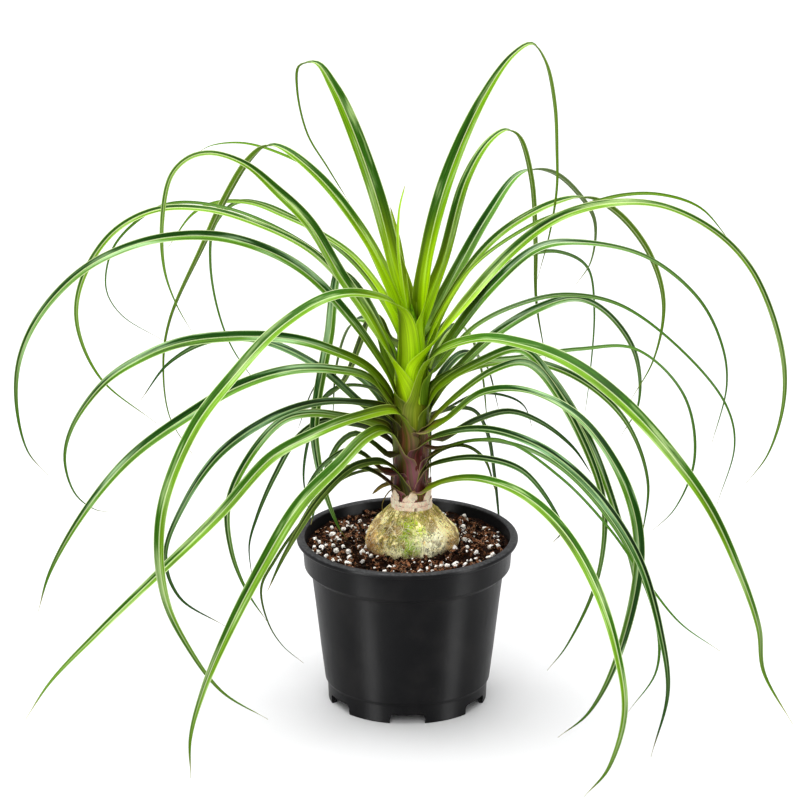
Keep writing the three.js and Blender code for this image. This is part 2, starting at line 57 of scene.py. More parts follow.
Colour = tuple[float, float, float, float]
Triple = tuple[float, float, float]
Pair = tuple[float, float]
Route = tuple[Pair, ...]
Row = tuple[float, ...]
Face = tuple[int, ...]
Array = np.ndarray
Draw = np.random.Generator
Piece = bpy.types.Object
Material = bpy.types.Material
Socket = bpy.types.NodeSocket
Number = Socket | float
Paint = Socket | Colour


def linear(value: int) -> float:
    """Turns one channel of a screen colour, 0 to 255, into linear light, 0 to 1."""
    share = value / 255
    return share / 12.92 if share <= 0.04045 else ((share + 0.055) / 1.055) ** 2.4


def srgb(red: int, green: int, blue: int) -> Colour:
    """Turns a screen colour, 0 to 255, into the linear colour that shaders use."""
    return (linear(red), linear(green), linear(blue), 1.0)


def smooth_step(value: Array | float) -> Array | float:
    """Eases 0 to 1, flat outside that range."""
    clipped = np.clip(value, 0.0, 1.0)
    return clipped * clipped * (3 - 2 * clipped)


class Slot(Enum):
    """The record's material slots."""

    POT = "pot_plastic"
    SOIL = "soil"
    CAUDEX = "caudex"
    LEAF = "leaf"


class Tone(Enum):
    """How light a leaf is, young and bright to old and dark, dark partly painted shade, grey partly painted
    reflection.
    """

    BRIGHT = "bright"
    FRESH = "fresh"
    MID = "mid"
    DARK = "dark"
    GREY = "grey"
    OLIVE = "olive"
    YOUNG = "young"
    DRY = "dry"


class Graph:
    """A material's node tree, with short calls for the nodes that the finishes share.

    Wherever a call takes a Number or a Paint, that is another node's socket or a fixed value. Of the mix
    node, BELOW and OVER are the inputs for the two colours, and MIXED is the output for what they make.
    """

    BELOW: ClassVar[int] = 6
    OVER: ClassVar[int] = 7
    MIXED: ClassVar[int] = 2

    def __init__(self, name: str) -> None:
        """Starts a material with a Principled shader.

        Args:
            name: The material's name.
        """
        self.material = bpy.data.materials.new(name)
        self.material.use_nodes = True
        self.tree = self.material.node_tree
        self.shader = self.tree.nodes["Principled BSDF"]
        self._place: Socket | None = None

    def set(self, **values: Number | Paint) -> None:
        """Sets or links the shader's sockets, each named with _ for a space."""
        for name, value in values.items():
            self._plug(self.shader.inputs[name.replace("_", " ")], value)

    def _plug(self, socket: Socket, value: Number | Paint | Triple) -> None:
        """Links an input to another node's output, or gives it a fixed value.

        Args:
            socket: The input.
            value: What it takes.
        """
        if isinstance(value, Socket):
            self.tree.links.new(value, socket)
        else:
            socket.default_value = value

    def _add(self, kind: str, inputs: dict[int | str, object], **settings: str) -> bpy.types.Node:
        """Adds a node.

        Args:
            kind: Blender's name of its type.
            inputs: What its inputs take, by name or number, with None for one that stays as it is.
            settings: Its options.

        Returns:
            The node.
        """
        node = self.tree.nodes.new(kind)
        for key, value in settings.items():
            setattr(node, key, value)
        for key, value in inputs.items():
            if value is not None:
                self._plug(node.inputs[key], value)
        return node

    def place(self) -> Socket:
        """The surface point in metres, in the row frame."""
        self._place = self._place or self._add("ShaderNodeTexCoord", {}).outputs["Object"]
        return self._place

    def around(self) -> Socket:
        """The direction round the upright axis, which brushed gloss follows."""
        return self._add("ShaderNodeTangent", {}, direction_type="RADIAL", axis="Z").outputs["Tangent"]

    def attribute(self, name: str) -> Socket:
        """A number stored on the mesh."""
        return self._add("ShaderNodeAttribute", {}, attribute_name=name).outputs["Fac"]

    def split(self, vector: Socket) -> tuple[Socket, ...]:
        """The x, y and z of a vector."""
        return tuple(self._add("ShaderNodeSeparateXYZ", {0: vector}).outputs)

    def vector(self, x: Number, y: Number, z: Number) -> Socket:
        """A vector from three numbers."""
        return self._add("ShaderNodeCombineXYZ", {0: x, 1: y, 2: z}).outputs[0]

    def stretched(self, vector: Socket, by: Triple) -> Socket:
        """A vector multiplied axis by axis."""
        return self._add("ShaderNodeVectorMath", {0: vector, 1: by}, operation="MULTIPLY").outputs[0]

    def distance(self, point: Triple) -> Socket:
        """How far the surface is from a point, in metres."""
        node = self._add("ShaderNodeVectorMath", {0: self.place(), 1: point}, operation="DISTANCE")
        return node.outputs["Value"]

    def noise(self, vector: Socket, scale: float, detail: float = 2.0, distortion: float = 0.0) -> Socket:
        """Soft noise, 0 to 1, of so many features for each unit of the vector and so many octaves."""
        inputs = {"Vector": vector, "Scale": scale, "Detail": detail, "Distortion": distortion}
        return self._add("ShaderNodeTexNoise", inputs).outputs["Fac"]

    def cells(self, vector: Socket, scale: float) -> Socket:
        """Distance to the nearest of scattered points, as a share of their spacing."""
        node = self._add("ShaderNodeTexVoronoi", {"Vector": vector, "Scale": scale}, feature="F1")
        return node.outputs["Distance"]

    def math(self, operation: str, first: Number, second: Number = 0.0) -> Socket:
        """One sum on numbers."""
        return self._add("ShaderNodeMath", {0: first, 1: second}, operation=operation).outputs[0]

    def times(self, first: Number, second: Number) -> Socket:
        """The product of two numbers."""
        return self.math("MULTIPLY", first, second)

    def remap(
        self, value: Number, low: float, high: float, to_low: float = 0.0, to_high: float = 1.0
    ) -> Socket:
        """Eases a number from to_low where it is low or less to to_high where it is high or more."""
        inputs = dict(enumerate((value, low, high, to_low, to_high)))
        return self._add("ShaderNodeMapRange", inputs, interpolation_type="SMOOTHSTEP").outputs[0]

    def mix(self, share: Number, first: Paint, second: Paint, blend: str = "MIX") -> Socket:
        """Mixes so much of the second colour over the first, 0 to 1, in the way that Blender calls blend."""
        inputs = {0: share, self.BELOW: first, self.OVER: second}
        return self._add("ShaderNodeMix", inputs, data_type="RGBA", blend_type=blend).outputs[self.MIXED]

    def shade(self, colour: Paint, value: Number, low: float, high: float) -> Socket:
        """Makes a colour darker or lighter, by low where the number is 0 and high where it is 1."""
        level = self.remap(value, 0.0, 1.0, low, high)
        return self.mix(1.0, colour, self.vector(level, level, level), "MULTIPLY")

    def bump(self, height: Number, strength: float, distance: float, under: Socket | None = None) -> Socket:
        """A normal bent by relief so many metres deep, over the coarser relief under it."""
        inputs = {"Height": height, "Strength": strength, "Distance": distance, "Normal": under}
        return self._add("ShaderNodeBump", inputs).outputs[0]


class Blade:
    """The pattern of a leaf blade, as numbers that its colours share.

    near runs from -1 at the half away from the viewer to 1 at the nearer one, climb is the distance from the
    foot in 100 mm, and the rest run from 0 to 1.
    """

    def __init__(self, name: str) -> None:
        """Reads what the mesh stores, and spreads bands, streaks and veins over it.

        Args:
            name: The material's name.
        """
        self.g = g = Graph(name)
        self.near = g.attribute("leaf_near")
        self.climb = g.attribute("leaf_climb")
        self.under = g.attribute("leaf_under")
        self.low = g.attribute("leaf_low")
        self.wine = g.attribute("leaf_wine")
        self.offset = g.times(g.attribute("leaf_seed"), 37.0)
        from_rim, from_rib = g.attribute("leaf_rim"), g.attribute("leaf_rib")
        self.wide = g.remap(g.math("ADD", from_rim, from_rib), 1.0, 2.8)
        self.rim = g.times(g.remap(from_rim, 0.28, 0.6, 1.0, 0.0), self.wide)
        rib = g.times(g.remap(from_rib, 0.2, 0.6, 1.0, 0.0), self.wide)
        self.rib = g.times(rib, g.remap(self.climb, 0.15, 0.6))
        self.tip = g.remap(g.attribute("leaf_along"), 0.94, 1.0)
        self.band = self.grain(1.2, 1.7, 3.0)
        self.streak = self.grain(5.5, 0.8, 3.0)
        self.vein = self.grain(19.0, 0.6, 1.0)
        self.crisp_streak = g.remap(self.streak, 0.3, 0.7)
        self.crisp_vein = g.remap(self.vein, 0.3, 0.7)

    def grain(self, wide: float, long: float, detail: float) -> Socket:
        """Streaks along the blade.

        Args:
            wide: How many lie across half of it.
            long: How many lie in 100 mm of it.
            detail: Octaves.

        Returns:
            Soft noise, 0 to 1.
        """
        g = self.g
        spot = g.vector(g.times(self.near, wide), g.times(self.climb, long), self.offset)
        return g.noise(spot, 1.0, detail)


@dataclass(frozen=True)
class LeafFinish:
    """Waxy strap leaf: halves painted as lit and shaded, parallel veins, a pale midrib and thin pale margins.

    far and near are the two halves, far painted darker as shade and near painted lighter as light. sheen the
    light patches of painted reflection, under the underside, foot the young green at the foot and tip the dry
    point. deep is how dark the bands between the patches of painted reflection are. Low on the plant the foot
    is stained wine red, with lilac, a painted highlight, on the half that faces the viewer, and a pale flesh
    rim.
    """

    tone: Tone
    far: Colour
    near: Colour
    # Painted reflection: the colour of the light patches on the upper face.
    painted_sheen: Colour
    margin: Colour
    under: Colour
    foot: Colour
    tip: Colour
    roughness: float = 0.4
    deep: float = 0.42
    wine: Colour = srgb(106, 44, 44)
    # Painted highlight in lilac on the stained half that faces the viewer.
    lilac_highlight: Colour = srgb(168, 112, 128)
    flesh: Colour = srgb(186, 140, 110)
    edge: Colour = srgb(176, 204, 66)

    def upper(self, blade: Blade) -> Socket:
        """The upper face.

        Args:
            blade: The pattern it follows.

        Returns:
            Its colour.
        """
        g = blade.g
        # The half away from the viewer is painted darker as shade, and the nearer half lighter as light.
        colour = g.mix(g.remap(blade.near, -0.14, 0.18), self.far, self.near)
        # Painted reflection in light patches, with darker bands between them.
        colour = g.mix(g.remap(blade.band, 0.5, 0.72, 0.0, 0.85), colour, self.painted_sheen)
        colour = g.shade(colour, g.remap(blade.band, 0.26, 0.5), self.deep, 1.0)
        colour = g.shade(colour, blade.crisp_streak, 0.66, 1.12)
        colour = g.shade(colour, blade.crisp_vein, 0.84, 1.12)
        thin = g.shade(self.near, blade.crisp_streak, 0.5, 0.9)
        colour = g.mix(g.times(g.math("SUBTRACT", 1.0, blade.wide), 0.85), colour, thin)
        colour = g.mix(g.times(blade.rim, 0.75), colour, self.margin)
        colour = g.mix(g.times(blade.rib, 0.6), colour, self.margin)
        return g.mix(blade.tip, colour, self.tip)

    def belly(self, blade: Blade) -> Socket:
        """The paler underside.

        Args:
            blade: The pattern it follows.

        Returns:
            Its colour.
        """
        g = blade.g
        colour = g.shade(self.under, blade.crisp_streak, 0.66, 1.2)
        colour = g.shade(colour, blade.crisp_vein, 0.84, 1.12)
        colour = g.mix(g.times(blade.rib, 0.5), colour, self.margin)
        colour = g.mix(g.times(blade.rim, 0.6), colour, self.margin)
        return g.mix(blade.tip, colour, self.tip)

    def young(self, blade: Blade) -> Socket:
        """The young green of the foot, darker low on the plant, with painted shade on the half away from the
        viewer.

        Args:
            blade: The pattern it follows.

        Returns:
            Its colour.
        """
        g = blade.g
        colour = g.shade(self.foot, blade.crisp_streak, 0.76, 1.16)
        colour = g.shade(colour, blade.crisp_vein, 0.88, 1.1)
        # Painted shade on the half away from the viewer.
        colour = g.shade(colour, g.remap(blade.near, -1.0, 0.3), 0.42, 1.12)
        colour = g.shade(colour, blade.low, 1.0, 0.5)
        return g.mix(g.times(blade.rim, 0.5), colour, self.edge)

    def stained(self, blade: Blade, colour: Socket) -> Socket:
        """Lays the wine red stain over the foot of a low leaf.

        Args:
            blade: The pattern it follows.
            colour: The leaf without its stain.

        Returns:
            The leaf with its stain.
        """
        g = blade.g
        patch = g.math("ADD", blade.climb, g.times(g.math("SUBTRACT", blade.band, 0.5), 0.7))
        stain = g.times(g.remap(patch, -0.08, 0.3, 1.0, 0.0), blade.wine)
        stain = g.times(stain, g.remap(blade.streak, 0.3, 0.6, 0.7, 1.0))
        rosy = g.shade(self.wine, blade.crisp_vein, 0.6, 1.3)
        rosy = g.shade(rosy, g.remap(blade.streak, 0.35, 0.7), 0.6, 1.6)
        # A painted lilac highlight on the half that faces the viewer.
        rosy = g.mix(g.remap(blade.near, -0.1, 0.9, 0.0, 0.6), rosy, self.lilac_highlight)
        rosy = g.mix(g.times(blade.rim, 0.6), rosy, self.flesh)
        return g.mix(stain, colour, rosy)

    def build(self) -> Material:
        """Makes the material.

        Returns:
            The material.
        """
        blade = Blade(f"leaf_{self.tone.value}")
        g = blade.g
        colour = g.mix(blade.under, self.upper(blade), self.belly(blade))
        colour = g.mix(g.remap(blade.climb, 0.1, 1.0, 1.0, 0.0), colour, self.young(blade))
        colour = self.stained(blade, colour)
        relief = g.math("ADD", g.times(blade.vein, 0.7), g.times(blade.rib, -0.6))
        gloss = g.remap(blade.streak, 0.2, 0.8, self.roughness - 0.06, self.roughness + 0.1)
        g.set(
            Base_Color=colour,
            Roughness=g.math("ADD", gloss, g.times(blade.under, 0.12)),
            Specular_IOR_Level=0.1,
            Normal=g.bump(relief, 0.35, 0.0006),
        )
        return g.material


LEAF_FINISHES = (
    LeafFinish(Tone.BRIGHT, srgb(50, 98, 8), srgb(102, 146, 18), srgb(170, 200, 126), srgb(200, 216, 160),
               srgb(116, 159, 37), srgb(147, 183, 11), srgb(145, 145, 63), 0.4, 0.5),
    LeafFinish(Tone.FRESH, srgb(40, 86, 4), srgb(104, 150, 10), srgb(176, 208, 128), srgb(204, 218, 156),
               srgb(87, 121, 19), srgb(161, 200, 5), srgb(135, 132, 63), 0.4, 0.4),
    LeafFinish(Tone.MID, srgb(24, 68, 4), srgb(76, 122, 12), srgb(158, 196, 138), srgb(192, 210, 150),
               srgb(73, 105, 24), srgb(120, 157, 5), srgb(135, 126, 66), 0.4, 0.34),
    LeafFinish(Tone.DARK, srgb(10, 42, 2), srgb(40, 84, 8), srgb(132, 174, 124), srgb(164, 190, 130),
               srgb(53, 79, 20), srgb(59, 87, 8), srgb(132, 121, 72), 0.38, 0.36),
    LeafFinish(Tone.GREY, srgb(26, 72, 6), srgb(84, 134, 34), srgb(174, 204, 160), srgb(196, 212, 166),
               srgb(93, 117, 59), srgb(95, 129, 18), srgb(141, 135, 90), 0.38, 0.34),
    LeafFinish(Tone.OLIVE, srgb(36, 62, 5), srgb(71, 99, 21), srgb(129, 153, 70), srgb(155, 174, 87),
               srgb(64, 87, 20), srgb(70, 91, 8), srgb(141, 121, 64), 0.42, 0.38),
    LeafFinish(Tone.YOUNG, srgb(132, 178, 5), srgb(167, 201, 40), srgb(204, 228, 105), srgb(210, 224, 137),
               srgb(148, 195, 14), srgb(147, 187, 4), srgb(145, 148, 53), 0.4, 0.65),
    LeafFinish(Tone.DRY, srgb(93, 93, 29), srgb(131, 119, 51), srgb(174, 157, 95), srgb(188, 162, 114),
               srgb(130, 111, 53), srgb(114, 97, 45), srgb(126, 86, 41), 0.6, 0.6),
)


def catmull_rom(points: Array, steps: list[int]) -> tuple[Array, Array]:
    """Centripetal curve through points, as the CAD model draws it.

    Args:
        points: The points it passes, one a row.
        steps: How many parts each interval is cut into.

    Returns:
        The points along the curve, and each one's place counted in intervals.
    """
    found, places = [], []
    for i, count in enumerate(steps):
        start, end = points[i], points[i + 1]
        before = points[i - 1] if i > 0 else 2 * start - end
        after = points[i + 2] if i + 2 < len(points) else 2 * end - start
        pairs = ((before, start), (start, end), (end, after))
        gaps = [max(np.dot(b - a, b - a) ** 0.25, 1e-4) for a, b in pairs]
        leave = (start - before) / gaps[0] - (end - before) / (gaps[0] + gaps[1]) + (end - start) / gaps[1]
        reach = (end - start) / gaps[1] - (after - start) / (gaps[1] + gaps[2]) + (after - end) / gaps[2]
        leave, reach = leave * gaps[1], reach * gaps[1]
        square = 3 * (end - start) - 2 * leave - reach
        cube = 2 * (start - end) + leave + reach
        for j in range(count):
            t = j / count
            found.append(start + leave * t + square * t * t + cube * t**3)
            places.append(i + t)
    found.append(points[-1])
    places.append(float(len(steps)))
    return np.array(found), np.array(places)


def pairs(row: Row) -> Array:
    """Reads a row of numbers two by two."""
    return np.reshape(row, (-1, 2))


def ring(radius: float, height: float, sides: int) -> list[Triple]:
    """Points of a level circle round the pot's axis."""
    angles = [2 * math.pi * j / sides for j in range(sides)]
    return [(radius * math.cos(angle), radius * math.sin(angle), height) for angle in angles]


def grid_faces(rows: int, columns: int, closed: bool, first: int = 0) -> list[Face]:
    """Quads of a grid of vertices.

    Args:
        rows: How many rows of vertices it has.
        columns: How many vertices a row has.
        closed: Whether each row joins up into a ring.
        first: Number of its first vertex.

    Returns:
        The faces.
    """
    faces = []
    for i in range(rows - 1):
        for j in range(columns if closed else columns - 1):
            k = (j + 1) % columns
            a, b = first + i * columns, first + (i + 1) * columns
            faces.append((a + j, a + k, b + k, b + j))
    return faces


def tube_faces(rows: int, sides: int, first: int = 0, topped: bool = True) -> list[Face]:
    """Faces of a tube that is closed below.

    Args:
        rows: How many rings of vertices it has.
        sides: How many vertices a ring has.
        first: Number of its first vertex.
        topped: Whether it is closed above too.

    Returns:
        The faces.
    """
    last = first + (rows - 1) * sides
    faces = grid_faces(rows, sides, True, first)
    faces.append(tuple(reversed(range(first, first + sides))))
    if topped:
        faces.append(tuple(range(last, last + sides)))
    return faces


def sheet_faces(rows: int, columns: int, first: int) -> list[Face]:
    """Faces of a thin closed sheet, whose grid of outer vertices comes before that of its inner ones.

    Args:
        rows: How many rows of vertices each side has.
        columns: How many vertices a row has.
        first: Number of its first vertex.

    Returns:
        The faces.
    """
    behind = rows * columns
    outer = grid_faces(rows, columns, False, first)
    inner = [tuple(k + behind for k in reversed(face)) for face in outer]
    rim = [first + c for c in range(columns)]
    rim += [first + r * columns + columns - 1 for r in range(1, rows)]
    rim += [first + (rows - 1) * columns + c for c in range(columns - 2, -1, -1)]
    rim += [first + r * columns for r in range(rows - 2, 0, -1)]
    edge = [(b, a, a + behind, b + behind) for a, b in zip(rim, rim[1:] + rim[:1])]
    return outer + inner + edge


def mesh_piece(name: str, points: Array, faces: list[Face], sharp_deg: float = 40.0) -> Piece:
    """Makes a mesh object from points in millimetres.

    Args:
        name: The piece's name.
        points: Vertices, one a row.
        faces: Vertex numbers of each face.
        sharp_deg: Edges that turn by more than this stay crisp.

    Returns:
        The object, linked to the scene.
    """
    mesh = bpy.data.meshes.new(name)
    mesh.from_pydata((np.asarray(points, float) * MM).tolist(), [], faces)
    mesh.polygons.foreach_set("use_smooth", [True] * len(mesh.polygons))
    mesh.set_sharp_from_angle(angle=math.radians(sharp_deg))
    mesh.update()
    piece = bpy.data.objects.new(name, mesh)
    bpy.context.scene.collection.objects.link(piece)
    return piece


def store(piece: Piece, name: str, values: Array) -> None:
    """Stores one number for each vertex, for the piece's material."""
    attribute = piece.data.attributes.new(name, "FLOAT", "POINT")
    attribute.data.foreach_set("value", np.asarray(values, np.float32).ravel())


def dress(piece: Piece, material: Material, slot: Slot, *nodes: str) -> Piece:
    """Gives a piece its material and its body, and groups it for the lamps.

    Args:
        piece: The piece.
        material: Its finish.
        slot: The record's slot that the finish stands for.
        nodes: The CAD nodes that the piece takes the place of.

    Returns:
        The piece.
    """
    piece.data.materials.append(material)
    for name in (ALL_PIECES, slot.value):
        group = bpy.data.collections.get(name) or bpy.data.collections.new(name)
        group.objects.link(piece)
    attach(piece, BODY)
    if nodes:
        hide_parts(*nodes)
    return piece


@dataclass(frozen=True)
class StemShape:
    """The plant's base and stem as (radius, height) outlines in millimetres, about the plant's axis.

    caudex is the swollen base, collar the ring at its neck and stem the part that the leaf sheaths cover,
    which pile up to lap over lap_height. lumps is how uneven the base is below the neck, as a share.
    """

    caudex: Route = ((12, 92), (22, 98), (29, 108), (33, 118), (34, 126), (31.5, 134), (26, 141), (20, 147.5),
                     (15.4, 152), (13.8, 155.5))
    collar: Route = ((13.8, 157.5), (12.8, 160), (11, 161.5))
    stem: Route = ((10.5, 160), (10, 200), (9.5, 245), (7, 275), (4, 296), (1.5, 306), (0.3, 310))
    lap: float = 4.3
    thin_lap: float = 0.6
    lap_height: float = 62.0
    lumps: float = 0.035
    neck: float = 150.0

    def base_radius(self, height: float) -> float:
        """Radius of the smooth outline of the base at a height."""
        radii, heights = zip(*self.caudex)
        return float(np.interp(height, heights, radii))

    def stem_radius(self, height: float) -> float:
        """Radius of the stem above its collar."""
        radii, heights = zip(*self.stem)
        return float(np.interp(height, heights, radii))

    def sheath_reach(self, height: float, foot: float) -> float:
        """How far from the axis a sheath that ends at foot lies, outside those of the leaves above it."""
        pile = self.lap * (1 - (foot - height) / self.lap_height)
        return self.stem_radius(height) + max(self.thin_lap, pile)

    def lump(self, angle: float, height: float) -> float:
        """How much the swollen base stands out there, as a factor on its radius."""
        wave = math.sin(2 * angle + 0.6) + 0.6 * math.sin(3 * angle + 2.1 + height * 0.05)
        return 1 + self.lumps * smooth_step((self.neck - height) / 20) * wave


STEM = StemShape()


@dataclass(frozen=True)
class Spine:
    """A leaf's midrib from sheath to tip, with a row for each cross section of the blade.

    points are in millimetres, distance is counted from the foot and is negative in the sheath, share is 0 at
    the foot and 1 at the tip, and wide and face point across the blade and out of its upper face.
    """

    points: Array
    distance: Array
    share: Array
    wide: Array
    face: Array


@dataclass(frozen=True)
class Leaf:
    """One strap leaf, from the sheath that clasps the stem to its fine tip.

    The rows hold pairs. route lists what the midrib passes, reach from the plant's axis and height in
    millimetres, in the upright plane at bearing, in degrees from +X towards +Y, which swings round by turn
    from foot to tip. widths lists share of the length and full width in millimetres, and ends in tip_width.
    rolls lists share and degrees, from 0 at the foot, with the upper face turned to the front above 0. The
    sheath reaches clasp_deg to each side round the stem, except on a joined leaf, which grows out of the stem
    with none. A leaf with across crosses over its neighbours: it leaves the stem at the front and takes so
    many lifts to reach its own bearing.
    """

    name: str
    tone: Tone
    bearing: float
    turn: float
    foot: float
    route: Row
    widths: Row
    rolls: Row = (0.08, 28, 0.25, 40, 1, 36)
    tip_width: float = 0.3
    clasp_deg: float = 62.0
    joined: bool = False
    across: float = 0.0

    # In millimetres: steps along the blade and the sheath, thickness, height of the keel, least half width.
    SPACING: ClassVar[float] = 4.5
    SHEATH_SPACING: ClassVar[float] = 20.0
    THICKNESS: ClassVar[float] = 0.7
    KEEL: ClassVar[float] = 0.25
    LEAST_HALF: ClassVar[float] = 0.17

    # Where the points of a cross section lie, from rim to rim.
    COLUMNS: ClassVar[Row] = (-1, -0.93, -0.76, -0.54, -0.3, -0.09, 0, 0.09, 0.3, 0.54, 0.76, 0.93, 1)

    # How deep the blade's channel is, and how much wider its foot is, as shares of its width.
    CHANNEL: ClassVar[float] = 0.4
    FLARE: ClassVar[float] = 0.75

    # Sheaths within FRONT degrees of a line BESIDE_FRONT degrees from the very front swing towards it, by
    # SWING of the way and less the further off they are, to nothing at ASIDE degrees.
    FRONT: ClassVar[float] = 92.0
    ASIDE: ClassVar[float] = 95.0
    SWING: ClassVar[float] = 0.6
    BESIDE_FRONT: ClassVar[float] = 14.0

    # Side and front leaves with a foot below LOW_FOOT start rolled by at least LOW_ROLL degrees.
    LOW_FOOT: ClassVar[float] = 240.0
    LOW_ROLL: ClassVar[float] = 40.0

    # The stain starts on leaves with a foot below STAIN_TOP and is full STAIN_DEPTH lower, less at the sides.
    STAIN_TOP: ClassVar[float] = 255.0
    STAIN_DEPTH: ClassVar[float] = 55.0
    SIDE_STAIN: ClassVar[float] = 0.35

    # Pairs of the foot's height and the length of the sheath, or the length that the blade takes to leave.
    SHEATHS: ClassVar[Row] = (162, 4, 185, 22, 230, 46, 304, 72)
    LIFTS: ClassVar[Row] = (162, 22, 200, 30, 250, 46, 304, 56)

    @property
    def side(self) -> float:
        """1 for a leaf that grows to the right, and -1 to the left."""
        return 1.0 if math.cos(math.radians(self.bearing)) >= 0 else -1.0

    @property
    def depth(self) -> float:
        """1 for a leaf that grows straight back, and -1 straight to the front."""
        return math.sin(math.radians(self.bearing))

    @property
    def sheath(self) -> float:
        """Length of the part below the foot, which lies along the stem."""
        return 0.0 if self.joined else float(np.interp(self.foot, *pairs(self.SHEATHS).T))

    @property
    def lift(self) -> float:
        """How far above the foot the blade takes to leave the stem."""
        return float(np.interp(self.foot, *pairs(self.LIFTS).T))

    def control_points(self) -> tuple[Array, Array]:
        """Lists what the midrib passes, sheath included.

        Returns:
            The points, and how far along the leaf each is, 0 at its foot.
        """
        path = pairs(self.route).tolist()
        if not self.joined:
            parts = 1 + math.ceil(self.sheath / self.SHEATH_SPACING)
            heights = [self.foot - self.sheath * (1 - i / parts) for i in range(parts + 1)]
            path = [(STEM.sheath_reach(height, self.foot), height) for height in heights] + path
        steps = np.diff(np.array(path), axis=0)
        walked = np.concatenate([[0.0], np.cumsum(np.hypot(steps[:, 0], steps[:, 1]))]) - self.sheath
        share = np.clip(walked / walked[-1], 0, 1)
        bearings = np.radians(self.headings(share, walked))
        reach, height = np.array(path).T
        points = np.stack([AXIS_X + reach * np.cos(bearings), reach * np.sin(bearings), height], 1)
        return points, walked

    def headings(self, share: Array, distance: Array) -> Array:
        """Finds the bearing all along the leaf: the sheaths of the leaves in front draw together below.

        Args:
            share: Shares of the length.
            distance: The same places, in millimetres from the foot.

        Returns:
            Bearings in degrees.
        """
        turned = self.bearing + self.turn * share
        to_front = (270 + self.side * self.BESIDE_FRONT - self.bearing + 180) % 360 - 180
        if self.joined or abs(to_front) > self.FRONT:
            return turned
        swing, rise = self.SWING * (1 - (to_front / self.ASIDE) ** 2), 1.1 * self.lift
        if self.across:
            swing, rise = 1.0, self.across * self.lift
        return turned + swing * to_front * (1 - smooth_step(distance / rise))

    def along(self, row: Row, share: Array) -> Array:
        """Reads widths or rolls all along the leaf, with their corners eased."""
        read = np.interp(share, *pairs(row).T)
        return np.convolve(np.pad(read, 4, mode="edge"), np.ones(9) / 9, mode="valid")

    def roll(self, share: Array, distance: Array) -> Array:
        """Finds how far the blade is turned about its midrib.

        Args:
            share: Shares of the length.
            distance: The same places, in millimetres from the foot.

        Returns:
            Angles in radians.
        """
        rolls = self.along((0, 0, *self.rolls), share)
        if not self.joined and self.foot < self.LOW_FOOT and self.depth < 0.1:
            rolls = np.maximum(rolls, self.LOW_ROLL * (1 - smooth_step((distance - 15) / 50)))
        return np.radians(rolls * smooth_step(distance / 12)) * self.side

    def spine(self) -> Spine:
        """Draws the midrib and turns the blade about it.

        Returns:
            The midrib.
        """
        control, walked = self.control_points()
        steps = [max(2, math.ceil((b - a) / self.SPACING)) for a, b in zip(walked, walked[1:])]
        points, places = catmull_rom(control, steps)
        distance = np.interp(places, np.arange(len(walked)), walked)
        share = np.clip(distance / walked[-1], 0, 1)
        along = np.gradient(points, axis=0)
        along /= np.linalg.norm(along, axis=1, keepdims=True)
        bearing = np.radians(self.headings(share, distance))
        across = np.stack([-np.sin(bearing), np.cos(bearing), np.zeros_like(bearing)], 1)
        across -= along * np.sum(across * along, axis=1, keepdims=True)
        across /= np.linalg.norm(across, axis=1, keepdims=True)
        inward = np.cross(along, across)
        roll = self.roll(share, distance)
        cos, sin = np.cos(roll)[:, None], np.sin(roll)[:, None]
        return Spine(points, distance, share, across * cos + inward * sin, inward * cos - across * sin)

    def hug(self, spine: Spine) -> Array:
        """How closely the blade bends round the stem: 1 in the sheath, and 0 where it is free."""
        lift = min(self.lift, 0.2 * spine.distance[-1])
        return np.zeros_like(spine.distance) if self.joined else 1 - smooth_step(spine.distance / lift)

    def half_widths(self, spine: Spine, hug: Array) -> Array:
        """Finds half the width of the blade and of the sheath, which clasps the stem and narrows downwards.

        Args:
            spine: The midrib.
            hug: How closely the blade bends round the stem.

        Returns:
            Half widths in millimetres, measured over the blade's curve.
        """
        blade = self.along((*self.widths, 1, self.tip_width), spine.share)
        blade *= 1 - 0.7 * smooth_step((spine.share - 0.96) / 0.04)
        half = np.maximum(blade / 2, self.LEAST_HALF) * (1 + self.FLARE * hug)
        reach = np.hypot(spine.points[:, 0] - AXIS_X, spine.points[:, 1])
        grip = np.clip(reach * math.radians(self.clasp_deg), half, 2.2 * half)
        below = np.clip(-spine.distance / max(self.sheath, 1), 0, 1)
        half += (grip - half) * below
        half *= 1 - 0.6 * smooth_step((below - 0.7) / 0.3)
        return half

    def sections(self, spine: Spine, hug: Array, half: Array) -> Array:
        """Places the points of each cross section: channelled above, keeled below, and bent round the stem.

        Args:
            spine: The midrib.
            hug: How closely the blade bends round the stem.
            half: Half widths.

        Returns:
            Points by cross section, by upper side and underside, and from rim to rim.
        """
        u = np.array(self.COLUMNS)
        bend = np.maximum(hug, 1e-4) / np.hypot(spine.points[:, 0] - AXIS_X, spine.points[:, 1])
        turned = half[:, None] * u * bend[:, None]
        sideways = np.sin(turned) / bend[:, None]
        upwards = (1 - np.cos(turned)) / bend[:, None]
        channel = (np.sqrt(u * u + 0.01) - 0.1) * self.CHANNEL
        upwards += half[:, None] * channel * (1 - hug)[:, None] * smooth_step(spine.share / 0.08)[:, None]
        thick = np.minimum(self.THICKNESS, half * 0.7)[:, None] * (1 - 0.7 * u * u)
        keel = self.KEEL * np.exp(-((u / 0.14) ** 2)) * np.minimum(1, half / 4)[:, None]
        layers = np.stack([upwards + thick / 2, upwards - thick / 2 - keel], 1)
        return (
            spine.points[:, None, None, :]
            + spine.wide[:, None, None, :] * sideways[:, None, :, None]
            + spine.face[:, None, None, :] * layers[:, :, :, None]
        )

